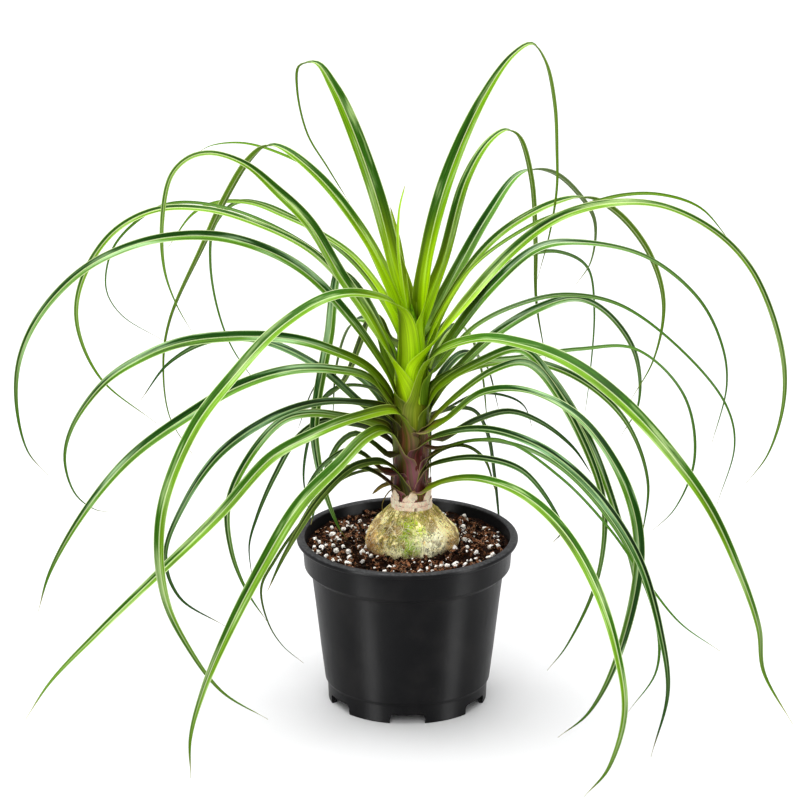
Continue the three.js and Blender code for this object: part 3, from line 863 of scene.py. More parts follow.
    def faces(self, rows: int) -> list[Face]:
        """Joins the cross sections into one closed body.

        Args:
            rows: How many there are.

        Returns:
            The faces of both sides, both rims and both ends.
        """
        count = len(self.COLUMNS)
        size = 2 * count
        faces = []
        for a in range(0, (rows - 1) * size, size):
            b = a + size
            for j in range(count - 1):
                faces.append((a + j, b + j, b + j + 1, a + j + 1))
                faces.append((a + count + j, a + count + j + 1, b + count + j + 1, b + count + j))
            faces.append((a, a + count, b + count, b))
            faces.append((a + count - 1, b + count - 1, b + size - 1, a + size - 1))
        end = (rows - 1) * size
        for j in range(count - 1):
            faces.append((j, j + 1, count + j + 1, count + j))
            faces.append((end + j, end + count + j, end + count + j + 1, end + j + 1))
        return faces

    def store_pattern(self, piece: Piece, spine: Spine, half: Array) -> None:
        """Stores what the finish reads: places on the blade, and how far the leaf is stained.

        Args:
            piece: The leaf.
            spine: Its midrib.
            half: Its half widths.
        """
        u = np.array(self.COLUMNS)
        shape = (len(half), 2, len(u))
        under = np.zeros(shape)
        under[:, 1, :] = 1
        seed = (sum(ord(letter) * 17**i for i, letter in enumerate(self.name)) % 997) / 997
        low = float(np.clip((self.STAIN_TOP - self.foot) / self.STAIN_DEPTH, 0, 1))
        if self.tone is Tone.DRY:
            low = 0.0
        front = self.depth < -0.35 and self.tone is not Tone.OLIVE
        values = {
            "leaf_near": -self.side * u,
            "leaf_rib": (half[:, None] * np.abs(u))[:, None, :],
            "leaf_rim": (half[:, None] * (1 - np.abs(u)))[:, None, :],
            "leaf_along": spine.share[:, None, None],
            "leaf_climb": spine.distance[:, None, None] / 100,
            "leaf_under": under,
            "leaf_seed": seed,
            "leaf_low": low,
            "leaf_wine": low if front else self.SIDE_STAIN * low,
        }
        for name, value in values.items():
            store(piece, name, np.broadcast_to(value, shape))

    def build(self) -> Piece:
        """Makes the blade as one closed body.

        Returns:
            The leaf, not yet dressed.
        """
        spine = self.spine()
        hug = self.hug(spine)
        half = self.half_widths(spine, hug)
        points = self.sections(spine, hug, half)
        piece = mesh_piece(self.name, points.reshape(-1, 3), self.faces(len(points)), 60.0)
        self.store_pattern(piece, spine, half)
        return piece


LEAVES = (
    Leaf("left_01", Tone.FRESH, 156, -4, 304,
        (16, 344, 29, 390, 52, 447, 65, 470, 78, 485, 92, 481, 94, 462, 86, 429, 70, 406, 52, 381),
        (0, 13.6, 0.3, 13.4, 0.45, 12.2, 0.5, 11.1, 0.55, 9.2, 0.65, 3.1, 0.7, 1.9, 0.95, 1.2),
        (0.2, 36, 0.5, 38, 0.6, 20, 0.65, -22, 0.8, -32, 1, -32)),
    Leaf("left_02", Tone.FRESH, 187, -2, 243,
        (31, 299, 53, 335, 76, 376, 100, 402, 123, 423, 147, 432,
         163, 429, 176, 416, 183, 382, 182, 344, 174, 317, 161, 291),
        (0, 10.2, 0.4, 9.9, 0.45, 9.1, 0.55, 4.9, 0.6, 4.3, 0.75, 4.1),
        (0.1, 48, 0.3, 62, 0.45, 56, 0.55, 34, 0.75, 56, 1, 46), across=1.5),
    Leaf("left_03", Tone.FRESH, 154, 0, 296,
        (27, 340, 52, 374, 78, 399, 105, 415, 118, 416, 134, 402,
         156, 365, 172, 331, 201, 267, 207, 231, 202, 189, 183, 162),
        (0, 9, 0.25, 8.5, 0.35, 6.8, 0.55, 5.7, 0.7, 2.9),
        (0.05, 24, 0.15, 36, 0.3, 32, 0.35, 18, 0.4, -38, 0.45, -48, 1, -34)),
    Leaf("left_04", Tone.FRESH, 138, 0, 292,
        (26, 319, 61, 366, 101, 392, 131, 398, 168, 398, 201, 389, 216, 380),
        (0, 2.4, 0.65, 2.2, 0.85, 1.5),
        (0.1, 24, 0.2, 32, 1, 56)),
    Leaf("left_05", Tone.MID, 203, 0, 235,
        (21, 258, 49, 305, 89, 350, 133, 376, 170, 386, 214, 386,
         257, 372, 290, 344, 307, 313, 311, 279, 303, 239, 287, 217),
        (0, 8.9, 0.35, 8.8, 0.45, 8.2, 0.55, 6.8, 0.7, 6),
        (0.05, 40, 0.2, 60, 0.55, 46, 1, 52)),
    Leaf("left_06", Tone.FRESH, 168, -2, 262,
        (30, 294, 50, 321, 78, 347, 121, 365, 157, 372, 195, 368,
         228, 347, 252, 307, 256, 273, 239, 232, 196, 199),
        (0, 5.5, 0.65, 5.3),
        (0.05, 30, 0.15, 42, 0.45, 36, 0.65, 68, 0.8, 82, 1, 78)),
    Leaf("left_07", Tone.MID, 158, 0, 268,
        (37, 305, 57, 328, 95, 351, 147, 366, 193, 364,
         220, 347, 241, 321, 246, 289, 234, 271, 200, 255),
        (0, 2.7, 0.65, 2.5),
        (0.1, 28, 0.4, 34, 0.8, 78, 1, 76)),
    Leaf("left_08", Tone.FRESH, 140, 0, 284,
        (21, 305, 54, 334, 88, 346, 124, 352, 155, 355, 190, 348, 214, 334, 240, 301),
        (0, 4.7, 0.55, 3.9, 0.85, 2.4),
        (0.15, 30, 0.6, 48, 0.9, 78, 1, 76)),
    Leaf("left_09", Tone.MID, 132, 0, 280,
        (57, 322, 124, 343, 170, 346, 198, 339, 223, 313, 227, 285, 220, 252, 204, 224, 171, 198),
        (0, 3.7, 0.55, 3.4, 0.85, 2),
        (0.15, 28, 0.4, 44, 0.65, 98, 1, 94)),
    Leaf("left_10", Tone.MID, 140, 48, 246,
        (23, 265, 30, 287, 42, 309, 53, 322, 59, 324, 61, 315, 62, 301, 63, 281,
         66, 261, 70, 234, 72, 209, 69, 185, 63, 160, 53, 134, 48, 127),
        (0, 8.6, 0.45, 8.6, 0.7, 7.5, 0.85, 5.3),
        (0.2, 30, 0.3, 54, 0.35, 74, 0.4, 80, 1, 68)),
    Leaf("left_11", Tone.BRIGHT, 220, 12, 279,
        (13, 309, 41, 326, 81, 334, 133, 323, 181, 299, 225, 271,
         260, 228, 270, 193, 267, 153, 249, 114, 219, 72, 171, 35),
        (0, 10.1, 0.45, 9.9, 0.65, 7.6, 0.8, 3.9),
        (0.05, 4, 0.1, 30, 0.25, 16, 1, 48), across=0.9),
    Leaf("left_12", Tone.OLIVE, 122, 0, 272,
        (33, 272, 43, 283, 52, 284, 60, 278, 67, 266, 75, 252, 84, 236, 95, 221, 111, 207, 129, 194),
        (0, 7.1, 0.35, 7.1, 0.55, 6.3, 0.75, 4.7),
        (0.25, 42, 0.35, 86, 0.4, 98, 0.7, 100, 1, 80)),
    Leaf("left_13", Tone.MID, 188, 0, 230,
        (31, 260, 61, 277, 90, 287, 131, 291, 172, 288, 202, 277,
         228, 260, 252, 227, 258, 201, 250, 173, 234, 160, 221, 159),
        (0, 9, 0.45, 8.8, 0.6, 6.6, 0.8, 2.7),
        (0.05, 30, 0.35, 46, 1, 64)),
    Leaf("left_14", Tone.MID, 204, 0, 224,
        (34, 256, 62, 267, 98, 272, 138, 266, 177, 250, 225, 223, 261, 187, 289, 144, 299, 114),
        (0, 9.3, 0.4, 9.3, 0.55, 8.8, 0.65, 7.6, 0.85, 4.2),
        (0.05, 34, 0.15, 26, 0.45, 42, 1, 44)),
    Leaf("left_15", Tone.DARK, 156, 4, 209,
        (42, 227, 74, 250, 117, 265, 157, 262, 193, 240, 216, 208),
        (0, 6.3, 0.55, 5.9, 0.7, 4.5),
        (0.2, 36, 0.85, 66, 1, 66)),
    Leaf("left_16", Tone.DARK, 192, 0, 217,
        (20, 230, 50, 237, 77, 237, 107, 228, 144, 204, 171, 167, 186, 127, 176, 93, 142, 67),
        (0, 7.4, 0.45, 7.1, 0.65, 4.3, 0.9, 2),
        (0.3, 44, 0.65, 50, 0.85, 66, 1, 68)),
    Leaf("left_17", Tone.DARK, 150, 0, 220,
        (27, 236, 53, 237, 72, 227, 86, 196, 93, 158, 88, 127),
        (0, 3.2, 0.7, 2.7),
        (0.55, 86, 0.8, 90, 1, 82)),
    Leaf("left_18", Tone.BRIGHT, 222, 0, 212,
        (23, 233, 55, 234, 100, 231, 139, 223, 188, 192, 245, 162, 302, 132, 350, 104, 373, 82),
        (0, 9.3, 0.35, 9.2, 0.55, 7.6, 0.8, 4.6),
        (0.05, 42, 0.1, 30, 1, 38), across=1.5),
    Leaf("left_19", Tone.MID, 180, 0, 206,
        (20, 215, 53, 222, 77, 224, 96, 218, 121, 188, 136, 152, 134, 116, 123, 84, 108, 59),
        (0, 7.1, 0.5, 6.6, 0.85, 2.9),
        (0.1, 32, 0.4, 56, 0.8, 74, 1, 70)),
    Leaf("left_20", Tone.BRIGHT, 234, 0, 190,
        (30, 219, 56, 222, 89, 211, 142, 193, 187, 160, 224, 126, 256, 88, 272, 56, 272, 24),
        (0, 10.8, 0.4, 10.6, 0.65, 8.5, 0.75, 6.7),
        (0.1, 30, 0.2, 12, 0.55, 48, 1, 50)),
    Leaf("left_21", Tone.DARK, 166, 0, 200,
        (28, 209, 47, 212, 66, 213, 85, 200, 105, 165, 119, 131, 125, 108, 123, 82),
        (0, 5.1, 0.55, 4.5),
        (0.1, 28, 0.45, 66, 1, 72)),
    Leaf("left_22", Tone.DARK, 197, 0, 196,
        (21, 196, 32, 206, 43, 213, 55, 207, 68, 181, 78, 145),
        (0, 5.5, 0.25, 5.3, 0.65, 3.9, 0.85, 2.3),
        (0.15, 36, 0.25, 40, 0.35, 36, 1, 48)),
    Leaf("left_23", Tone.DARK, 209, 0, 181,
        (27, 185, 43, 201, 56, 205, 77, 195, 98, 166),
        (0, 6.4, 0.15, 6.2, 0.3, 4.6, 0.75, 3.1, 0.9, 1.8),
        (0.25, 48, 0.5, 38, 1, 38)),
    Leaf("left_24", Tone.OLIVE, 235, -4, 168,
        (18, 181, 35, 196, 55, 202, 77, 203, 113, 189, 150, 157, 167, 134),
        (0, 7.1, 0.65, 5.4, 0.85, 3.3),
        (0.1, 2, 0.15, 48, 0.45, 40, 0.7, 52, 1, 50)),
    Leaf("left_25", Tone.DARK, 214, 0, 165,
        (35, 186, 54, 193, 73, 185, 99, 157, 117, 129),
        (0, 5.2, 0.55, 4.8, 0.8, 3),
        (0.05, -12, 0.1, 34, 0.15, 42, 1, 38)),
    Leaf("left_26", Tone.OLIVE, 152, 0, 172,
        (31, 174, 60, 161, 97, 116, 116, 87, 128, 62, 122, 35, 110, 19, 92, 8),
        (0, 3.2, 0.7, 2.2),
        (0.1, 34, 0.35, 70, 0.75, 88, 1, 80)),
    Leaf("right_01", Tone.FRESH, 14, 0, 296,
        (12, 344, 28, 407, 55, 467, 77, 497, 91, 504, 101, 489,
         108, 457, 110, 420, 110, 390, 105, 357, 96, 322),
        (0, 12.8, 0.25, 12.6, 0.35, 10.6, 0.5, 5.3, 0.55, 4, 0.9, 1.6),
        (0.05, 28, 0.2, 46, 0.45, 44, 0.55, 22, 0.6, -34, 0.65, -48, 1, -42)),
    Leaf("right_02", Tone.FRESH, 38, 0, 288,
        (13, 303, 30, 338, 51, 396, 72, 421, 89, 427, 101, 419, 113, 383, 117, 332, 118, 288, 128, 238),
        (0, 9.4, 0.25, 9.2, 0.3, 8.6, 0.45, 4.8, 0.75, 3.6),
        (0.1, 26, 0.25, 32, 0.35, 28, 0.45, 14, 0.5, -22, 0.55, -30, 1, -32)),
    Leaf("right_03", Tone.FRESH, 8, 0, 262,
        (29, 296, 70, 343, 107, 371, 144, 381, 185, 378, 226, 356,
         255, 323, 277, 264, 280, 221, 269, 179, 252, 155),
        (0, 9, 0.25, 8.5, 0.35, 7.2, 0.45, 5.2, 0.75, 4.6, 0.85, 3.4),
        (0.05, 32, 0.15, 46, 0.35, 48, 0.45, 38, 0.75, 74, 1, 74), across=1.5),
    Leaf("right_04", Tone.GREY, 52, -4, 284,
        (24, 291, 51, 319, 89, 355, 125, 379, 161, 372, 192, 347, 210, 320, 204, 291, 185, 277),
        (0, 9.8, 0.15, 9.8, 0.3, 9, 0.4, 7.3, 0.5, 4.8, 0.75, 4.1, 0.9, 1.4),
        (0.15, 28, 0.35, 26, 0.5, 14, 0.55, -36, 0.6, -44, 1, -28)),
    Leaf("right_05", Tone.FRESH, 18, -2, 276,
        (45, 332, 92, 362, 126, 372, 161, 379, 192, 377, 223, 364, 248, 334),
        (0, 3.1, 0.7, 2.8, 0.85, 2.1),
        (0.1, 32, 0.2, 40, 1, 60)),
    Leaf("right_06", Tone.FRESH, 32, -4, 266,
        (25, 297, 56, 336, 83, 355, 124, 368, 152, 367,
         178, 350, 205, 313, 216, 273, 207, 232, 186, 202),
        (0, 6.3, 0.3, 6.3, 0.65, 5.4, 0.75, 4.1, 0.85, 2.1),
        (0.1, 30, 0.35, 38, 0.45, 20, 0.5, -46, 0.55, -54, 0.85, -34, 1, -32)),
    Leaf("right_07", Tone.GREY, -3, 4, 250,
        (26, 278, 59, 324, 94, 355, 124, 359, 172, 348, 211, 315, 229, 278, 233, 246, 222, 196),
        (0, 9.4, 0.15, 9.3, 0.25, 8.5, 0.35, 7.2, 0.45, 4.3, 0.5, 3.6, 0.9, 1.6),
        (0.1, 44, 0.25, 54, 0.45, 42, 0.85, 56, 1, 48)),
    Leaf("right_08", Tone.GREY, 54, 0, 268,
        (42, 282, 86, 303, 144, 307, 190, 298, 229, 273, 237, 238, 232, 187, 225, 153),
        (0, 4, 0.35, 3.6, 0.85, 1.7),
        (0.1, 26, 0.45, 52, 0.7, 100, 1, 96)),
    Leaf("right_09", Tone.GREY, 24, -12, 260,
        (15, 255, 51, 286, 85, 299, 120, 303, 162, 292, 208, 255, 243, 209, 249, 178, 234, 133),
        (0, 3.9, 0.35, 3.8, 0.55, 2.2, 0.85, 1.8),
        (0.05, 20, 0.15, 38, 0.85, 74, 1, 72)),
    Leaf("right_10", Tone.BRIGHT, -36, 0, 232,
        (19, 270, 58, 294, 100, 299, 142, 294, 185, 276, 228, 246,
         265, 210, 292, 167, 310, 126, 315, 93, 341, 58),
        (0, 11.1, 0.4, 11.1, 0.5, 10.5, 0.85, 4.3),
        (0.05, 10, 0.1, 34, 0.2, 20, 0.45, 34, 1, 38), across=1.5),
    Leaf("right_11", Tone.MID, -20, 0, 226,
        (22, 247, 55, 272, 86, 285, 108, 266, 138, 221, 162, 161, 175, 115, 170, 75),
        (0, 7.4, 0.45, 7.3, 0.6, 6.6, 0.85, 3.8),
        (0.05, 36, 0.2, 50, 0.75, 46, 1, 52)),
    Leaf("right_12", Tone.GREY, 36, 0, 234,
        (33, 244, 74, 269, 119, 283, 153, 283, 182, 265, 209, 226, 212, 186, 196, 164),
        (0, 7.5, 0.35, 7.4, 0.55, 5.1, 0.75, 4.6),
        (0.15, 32, 0.5, 54, 0.75, 92, 0.85, 98, 1, 92)),
    Leaf("right_13", Tone.MID, -27, 0, 214,
        (31, 237, 69, 270, 97, 279, 124, 253, 153, 199, 159, 168, 153, 119, 129, 63, 113, 40),
        (0, 6.2, 0.5, 5.8, 0.85, 2.4),
        (0.05, 38, 0.15, 52, 0.55, 42, 1, 54)),
    Leaf("right_14", Tone.MID, -46, 0, 212,
        (38, 229, 76, 260, 126, 273, 179, 264, 222, 226, 236, 182, 218, 99, 188, 42, 155, 11),
        (0, 9.2, 0.5, 9.2, 0.6, 8.7, 0.75, 6.7, 0.85, 3.6),
        (0.05, 36, 0.1, 48, 0.15, 40, 0.35, -22, 0.55, 22, 1, 46)),
    Leaf("right_15", Tone.GREY, 4, -4, 233,
        (14, 246, 43, 262, 80, 267, 125, 273, 165, 273, 201, 238, 210, 188, 196, 149, 179, 131),
        (0, 3.9, 0.25, 3.9, 0.5, 2.6, 0.8, 2.4),
        (0.2, 46, 0.4, 46, 0.55, 28, 0.75, 62, 0.85, 70, 1, 68)),
    Leaf("right_16", Tone.MID, 10, 0, 226,
        (28, 249, 53, 259, 91, 259, 127, 243, 161, 209, 179, 160, 175, 112),
        (0, 5.9, 0.35, 5.8, 0.55, 5, 0.75, 2.9, 0.9, 2),
        (0.1, 32, 0.25, 46, 0.85, 74, 1, 72)),
    Leaf("right_17", Tone.DARK, -51, 0, 198,
        (29, 213, 68, 231, 112, 240, 166, 238, 219, 219, 261, 185, 285, 136, 293, 96, 275, 38),
        (0, 6.7, 0.45, 6.7, 0.65, 6.2, 0.75, 5.2),
        (0.05, 40, 0.3, 32, 0.7, 52, 1, 50), across=1.5),
    Leaf("right_18", Tone.DARK, 43, 0, 218,
        (29, 218, 65, 223, 97, 214, 116, 201, 124, 183),
        (0, 2.4, 0.75, 2),
        (0.85, 78, 1, 78)),
    Leaf("right_19", Tone.GREY, -32, -4, 203,
        (25, 204, 78, 219, 131, 201, 176, 170, 210, 137, 240, 113, 277, 100),
        (0, 2.4, 0.8, 1.8),
        (0.05, 24, 0.15, 40, 1, 42)),
    Leaf("right_20", Tone.DARK, 48, 0, 214,
        (32, 217, 69, 208, 85, 185, 93, 150, 101, 95),
        (0, 3.7, 0.45, 3.6, 0.7, 3, 0.85, 2.3),
        (0.25, 44, 0.45, 94, 0.55, 100, 1, 94)),
    Leaf("right_21", Tone.GREY, -30, 0, 190,
        (24, 200, 58, 214, 101, 214, 138, 198, 181, 155, 207, 101, 208, 62, 185, 24),
        (0, 3.4, 0.6, 3.3, 0.8, 2.5),
        (0.05, 28, 0.1, 38, 0.65, 38, 1, 50)),
    Leaf("right_22", Tone.DARK, 24, 0, 202,
        (23, 200, 53, 211, 79, 214, 105, 202, 132, 178, 148, 154),
        (0, 6, 0.3, 5.8, 0.85, 2.3),
        (0.6, 62, 0.85, 72, 1, 68)),
    Leaf("right_23", Tone.DARK, -48, 0, 170,
        (18, 185, 42, 199, 81, 211, 124, 212, 154, 193, 164, 179, 154, 166),
        (0, 5.4, 0.55, 5.1, 0.9, 1.9),
        (0.05, 8, 0.1, 42, 0.2, 36, 0.35, 46, 1, 50)),
    Leaf("right_24", Tone.OLIVE, -38, 0, 180,
        (19, 192, 38, 207, 55, 210, 69, 203, 78, 182),
        (0, 3.5, 0.7, 2.5, 0.85, 1.8),
        (0.15, -6, 0.2, 40, 0.25, 46, 1, 36)),
    Leaf("right_25", Tone.BRIGHT, -54, -10, 166,
        (17, 168, 47, 185, 91, 200, 155, 207, 214, 198, 265, 174, 302, 141, 323, 104, 312, 58, 283, 24),
        (0, 8.6, 0.55, 8.2, 0.65, 7.2, 0.85, 3.8),
        (0.05, 32, 0.25, 18, 0.7, 46, 1, 46)),
    Leaf("back_01", Tone.MID, 114, -4, 225,
        (32, 252, 75, 270, 120, 255, 158, 208, 175, 158),
        (0, 6.8, 0.35, 7.5, 0.55, 6, 0.75, 3.8, 0.92, 1.5)),
    Leaf("back_02", Tone.MID, 92, 0, 232,
        (40, 258, 92, 272, 158, 252, 226, 192, 272, 112, 286, 45),
        (0, 8.1, 0.35, 9, 0.55, 7.2, 0.75, 4.5, 0.92, 1.8)),
    Leaf("back_03", Tone.FRESH, 70, 0, 214,
        (34, 244, 75, 262, 120, 250, 155, 205, 170, 155),
        (0, 6.8, 0.35, 7.5, 0.55, 6, 0.75, 3.8, 0.92, 1.5)),
    Leaf("back_04", Tone.DARK, 62, 0, 200,
        (40, 236, 80, 246, 118, 226, 142, 180),
        (0, 5.9, 0.35, 6.5, 0.55, 5.2, 0.75, 3.2, 0.92, 1.3)),
    Leaf("back_05", Tone.DARK, 128, 0, 198,
        (40, 228, 80, 236, 115, 215, 140, 170),
        (0, 5.9, 0.35, 6.5, 0.55, 5.2, 0.75, 3.2, 0.92, 1.3)),
    Leaf("back_06", Tone.DARK, 84, 0, 186,
        (32, 214, 70, 228, 108, 208, 134, 165, 142, 118),
        (0, 5.9, 0.35, 6.5, 0.55, 5.2, 0.75, 3.2, 0.92, 1.3)),
)

YOUNG_LEAVES = (
    Leaf("young_1", Tone.YOUNG, 225, 0, 288,
        (4, 288, 8, 312, 12, 336, 15, 362, 13, 388, 7, 404),
        (0, 9, 0.5, 8.4, 0.8, 5), joined=True, tip_width=0.8),
    Leaf("young_2", Tone.YOUNG, 119, 0, 290,
        (3, 290, 7, 312, 13, 334, 20, 356, 32, 376),
        (0, 6, 0.5, 5), joined=True, tip_width=0.8),
)

DRIED_LEAVES = (
    Leaf("dried_1", Tone.DRY, 200, 0, 168,
        (19, 173, 25, 172, 31, 165),
        (0, 5, 0.5, 4.4), clasp_deg=30, tip_width=0.8),
    Leaf("dried_2", Tone.DRY, 208, 0, 166,
        (20, 170, 24, 165, 25, 157, 24, 150),
        (0, 1.4), clasp_deg=10, tip_width=0.5),
)


@dataclass(frozen=True)
class Crown:
    """All the leaves round the stem: grown ones, young ones that are still rolled, and dried ones."""

    leaves: tuple[Leaf, ...]
    young: tuple[Leaf, ...]
    dried: tuple[Leaf, ...]

    def build(self) -> list[Piece]:
        """Builds each leaf and gives it the finish of its tone.

        Returns:
            The leaves.
        """
        finishes = {finish.tone: finish.build() for finish in LEAF_FINISHES}
        pieces = []
        for leaf in self.leaves:
            pieces.append(dress(leaf.build(), finishes[leaf.tone], Slot.LEAF, f"leaf_{leaf.name}"))
        for leaf in self.young:
            pieces.append(dress(leaf.build(), finishes[leaf.tone], Slot.LEAF, "caudex_and_stem"))
        for leaf in self.dried:
            pieces.append(dress(leaf.build(), finishes[leaf.tone], Slot.LEAF))
        return pieces


@dataclass(frozen=True)
class Patch:
    """A soft round patch of colour: amount within near metres of its middle, and none beyond far metres."""

    middle: Triple
    near: float
    far: float
    amount: float

    def build(self, g: Graph) -> Socket:
        """How strongly it shows."""
        return g.remap(g.distance(self.middle), self.near, self.far, self.amount, 0.0)


@dataclass(frozen=True)
class CaudexFinish:
    """Cream bark of the swollen base with moss, lichen, dark pits and tan sides that are partly painted
    shade.
    """

    cream: Colour = srgb(250, 214, 124)
    pale: Colour = srgb(255, 242, 176)
    tan: Colour = srgb(200, 136, 72)
    # Painted light: the colour of the lit patch on the front of the base.
    bright: Colour = srgb(255, 250, 214)
    crack: Colour = srgb(62, 40, 14)
    thread: Colour = srgb(248, 244, 214)
    moss: Colour = srgb(172, 192, 36)
    green: Colour = srgb(104, 140, 4)
    lichen: Colour = srgb(134, 118, 44)
    pit: Colour = srgb(44, 24, 6)
    shade: Colour = srgb(158, 112, 52)
    # Painted shade, in earth brown, where the base meets the soil.
    soil_contact_shade: Colour = srgb(96, 62, 34)
    # Tan on the left and right sides: partly the bark's tan, partly painted shade where the base turns away.
    tan_and_shaded_sides: tuple[Patch, ...] = (
        Patch((-0.030, -0.018, 0.128), 0.006, 0.021, 1.0),
        Patch((0.033, -0.018, 0.122), 0.004, 0.018, 0.95),
    )
    # Where light is painted on, as a lit patch on the front of the base.
    painted_light_patches: tuple[Patch, ...] = (
        Patch((0.017, -0.030, 0.131), 0.009, 0.022, 1.0),
        Patch((-0.008, -0.034, 0.127), 0.002, 0.010, 0.6),
    )
    lichen_patches: tuple[Patch, ...] = (Patch((-0.014, -0.027, 0.140), 0.007, 0.021, 1.0),)
    moss_patches: tuple[Patch, ...] = (
        Patch((0.006, -0.024, 0.147), 0.006, 0.019, 0.9),
        Patch((0.003, -0.034, 0.130), 0.003, 0.013, 0.7),
    )
    green_patches: tuple[Patch, ...] = (
        Patch((-0.001, -0.030, 0.141), 0.002, 0.011, 1.0),
        Patch((0.002, -0.034, 0.129), 0.003, 0.010, 1.0),
    )
    thin_moss: float = 0.12
    # Heights over which the painted shade at the soil fades out.
    soil_line: Pair = (0.119, 0.127)

    def spread(self, g: Graph, patches: tuple[Patch, ...]) -> Socket:
        """How strongly a colour shows in its patches together."""
        shares = [patch.build(g) for patch in patches]
        return reduce(lambda first, second: g.math("ADD", first, second), shares)

    def tinted(self, g: Graph, broad: Socket, blotch: Socket, fine: Socket) -> Socket:
        """Lays tan sides partly painted shade, a painted patch of light, lichen and moss over the bark's
        cream.

        Args:
            g: The material.
            broad: Noise of some 10 mm.
            blotch: Noise of some 5 mm.
            fine: Noise of about 1 mm.

        Returns:
            The colour.
        """
        colour = g.mix(g.remap(broad, 0.38, 0.6), self.cream, self.pale)
        # Tan sides: partly the bark's tan and partly painted shade.
        tan = g.times(self.spread(g, self.tan_and_shaded_sides), g.remap(blotch, 0.3, 0.55))
        colour = g.mix(tan, colour, self.tan)
        # A painted pool of light on the front of the base.
        bright = g.times(self.spread(g, self.painted_light_patches), g.remap(blotch, 0.3, 0.5))
        colour = g.mix(bright, colour, self.bright)
        lichen = g.times(self.spread(g, self.lichen_patches), g.remap(blotch, 0.32, 0.55))
        colour = g.mix(lichen, colour, self.lichen)
        moss = g.math("ADD", self.spread(g, self.moss_patches), self.thin_moss)
        colour = g.mix(g.times(moss, g.remap(blotch, 0.34, 0.58)), colour, self.moss)
        green = g.times(self.spread(g, self.green_patches), g.remap(fine, 0.36, 0.54))
        return g.mix(green, colour, self.green)

    def build(self) -> Material:
        """Makes the material.

        Returns:
            The material.
        """
        g = Graph("caudex_bark")
        place = g.place()
        broad = g.noise(place, 90.0, 3.0)
        blotch = g.noise(place, 210.0, 4.0, 0.6)
        fine = g.noise(g.stretched(place, (1.0, 1.0, 0.6)), 760.0, 4.0, 0.8)
        colour = self.tinted(g, broad, blotch, fine)
        colour = g.mix(g.remap(fine, 0.56, 0.72, 0.0, 0.45), colour, self.tan)
        wander = g.noise(g.stretched(place, (1.0, 1.0, 0.7)), 170.0, 3.0, 1.4)
        crack = g.remap(g.math("ABSOLUTE", g.math("SUBTRACT", wander, 0.5)), 0.006, 0.028, 1.0, 0.0)
        crack = g.times(crack, g.remap(blotch, 0.42, 0.58, 0.25, 1.0))
        colour = g.mix(crack, colour, self.crack)
        colour = g.shade(colour, g.remap(fine, 0.34, 0.6), 0.6, 1.16)
        colour = g.mix(g.remap(broad, 0.36, 0.5, 0.55, 0.0), colour, self.shade)
        colour = g.shade(colour, g.remap(broad, 0.38, 0.56), 0.78, 1.34)
        # Painted shade in earth brown, darker towards the soil line.
        soil_contact_shade_mask = g.remap(g.split(place)[2], *self.soil_line, 0.85, 0.0)
        colour = g.mix(g.times(soil_contact_shade_mask, g.remap(blotch, 0.35, 0.6, 0.3, 1.0)), colour, self.soil_contact_shade)
        lace = g.noise(place, 190.0, 2.0, 2.4)
        thread = g.remap(g.math("ABSOLUTE", g.math("SUBTRACT", lace, 0.47)), 0.006, 0.026, 0.75, 0.0)
        colour = g.mix(thread, colour, self.thread)
        pits = g.remap(g.cells(place, 270.0), 0.11, 0.17, 1.0, 0.0)
        pits = g.times(pits, g.remap(g.noise(place, 150.0), 0.42, 0.5))
        colour = g.mix(pits, colour, self.pit)
        relief = g.math("ADD", g.times(thread, 0.6), g.times(fine, 0.7))
        relief = g.math("SUBTRACT", relief, g.math("ADD", pits, g.times(crack, 0.6)))
        g.set(
            Base_Color=colour,
            Roughness=g.remap(fine, 0.2, 0.8, 0.58, 0.86),
            Normal=g.bump(relief, 0.7, 0.0008, g.bump(blotch, 0.5, 0.0014)),
        )
        return g.material


@dataclass(frozen=True)
class FibreFinish:
    """Dry root fibres, light along their middles and stained where they cross the moss."""

    name: str
    light: Colour
    dark: Colour

    def build(self) -> Material:
        """Makes the material.

        Returns:
            The material.
        """
        g = Graph(self.name)
        place = g.place()
        stain = g.noise(place, 330.0, 3.0)
        fine = g.noise(place, 1900.0, 2.0)
        colour = g.mix(g.remap(stain, 0.38, 0.62), self.light, self.dark)
        g.set(
            Base_Color=g.shade(colour, fine, 0.75, 1.2),
            Roughness=g.remap(fine, 0.3, 0.7, 0.55, 0.8),
            Normal=g.bump(fine, 0.4, 0.0002),
        )
        return g.material


@dataclass(frozen=True)
class StemFinish:
    """Stem between the sheaths: wine below, green above, with fine fibres."""

    wine: Colour = srgb(92, 44, 40)
    dark: Colour = srgb(44, 22, 14)
    green: Colour = srgb(134, 182, 22)
    shadow: Colour = srgb(84, 128, 16)
    turn_green: Pair = (0.215, 0.245)

    def build(self) -> Material:
        """Makes the material.

        Returns:
            The material.
        """
        g = Graph("stem_skin")
        place = g.place()
        height = g.split(place)[2]
        fibre = g.noise(g.stretched(place, (1.0, 1.0, 0.05)), 1100.0, 3.0)
        low = g.mix(g.remap(fibre, 0.35, 0.65), self.dark, self.wine)
        high = g.mix(g.remap(fibre, 0.35, 0.65), self.shadow, self.green)
        patches = g.noise(place, 110.0)
        level = g.math("ADD", height, g.times(patches, 0.03))
        colour = g.mix(g.remap(level, *self.turn_green), low, high)
        g.set(
            Base_Color=g.shade(colour, patches, 0.8, 1.2),
            Roughness=g.remap(fibre, 0.2, 0.8, 0.5, 0.7),
            Specular_IOR_Level=0.08,
            Normal=g.bump(fibre, 0.4, 0.0005),
        )
        return g.material


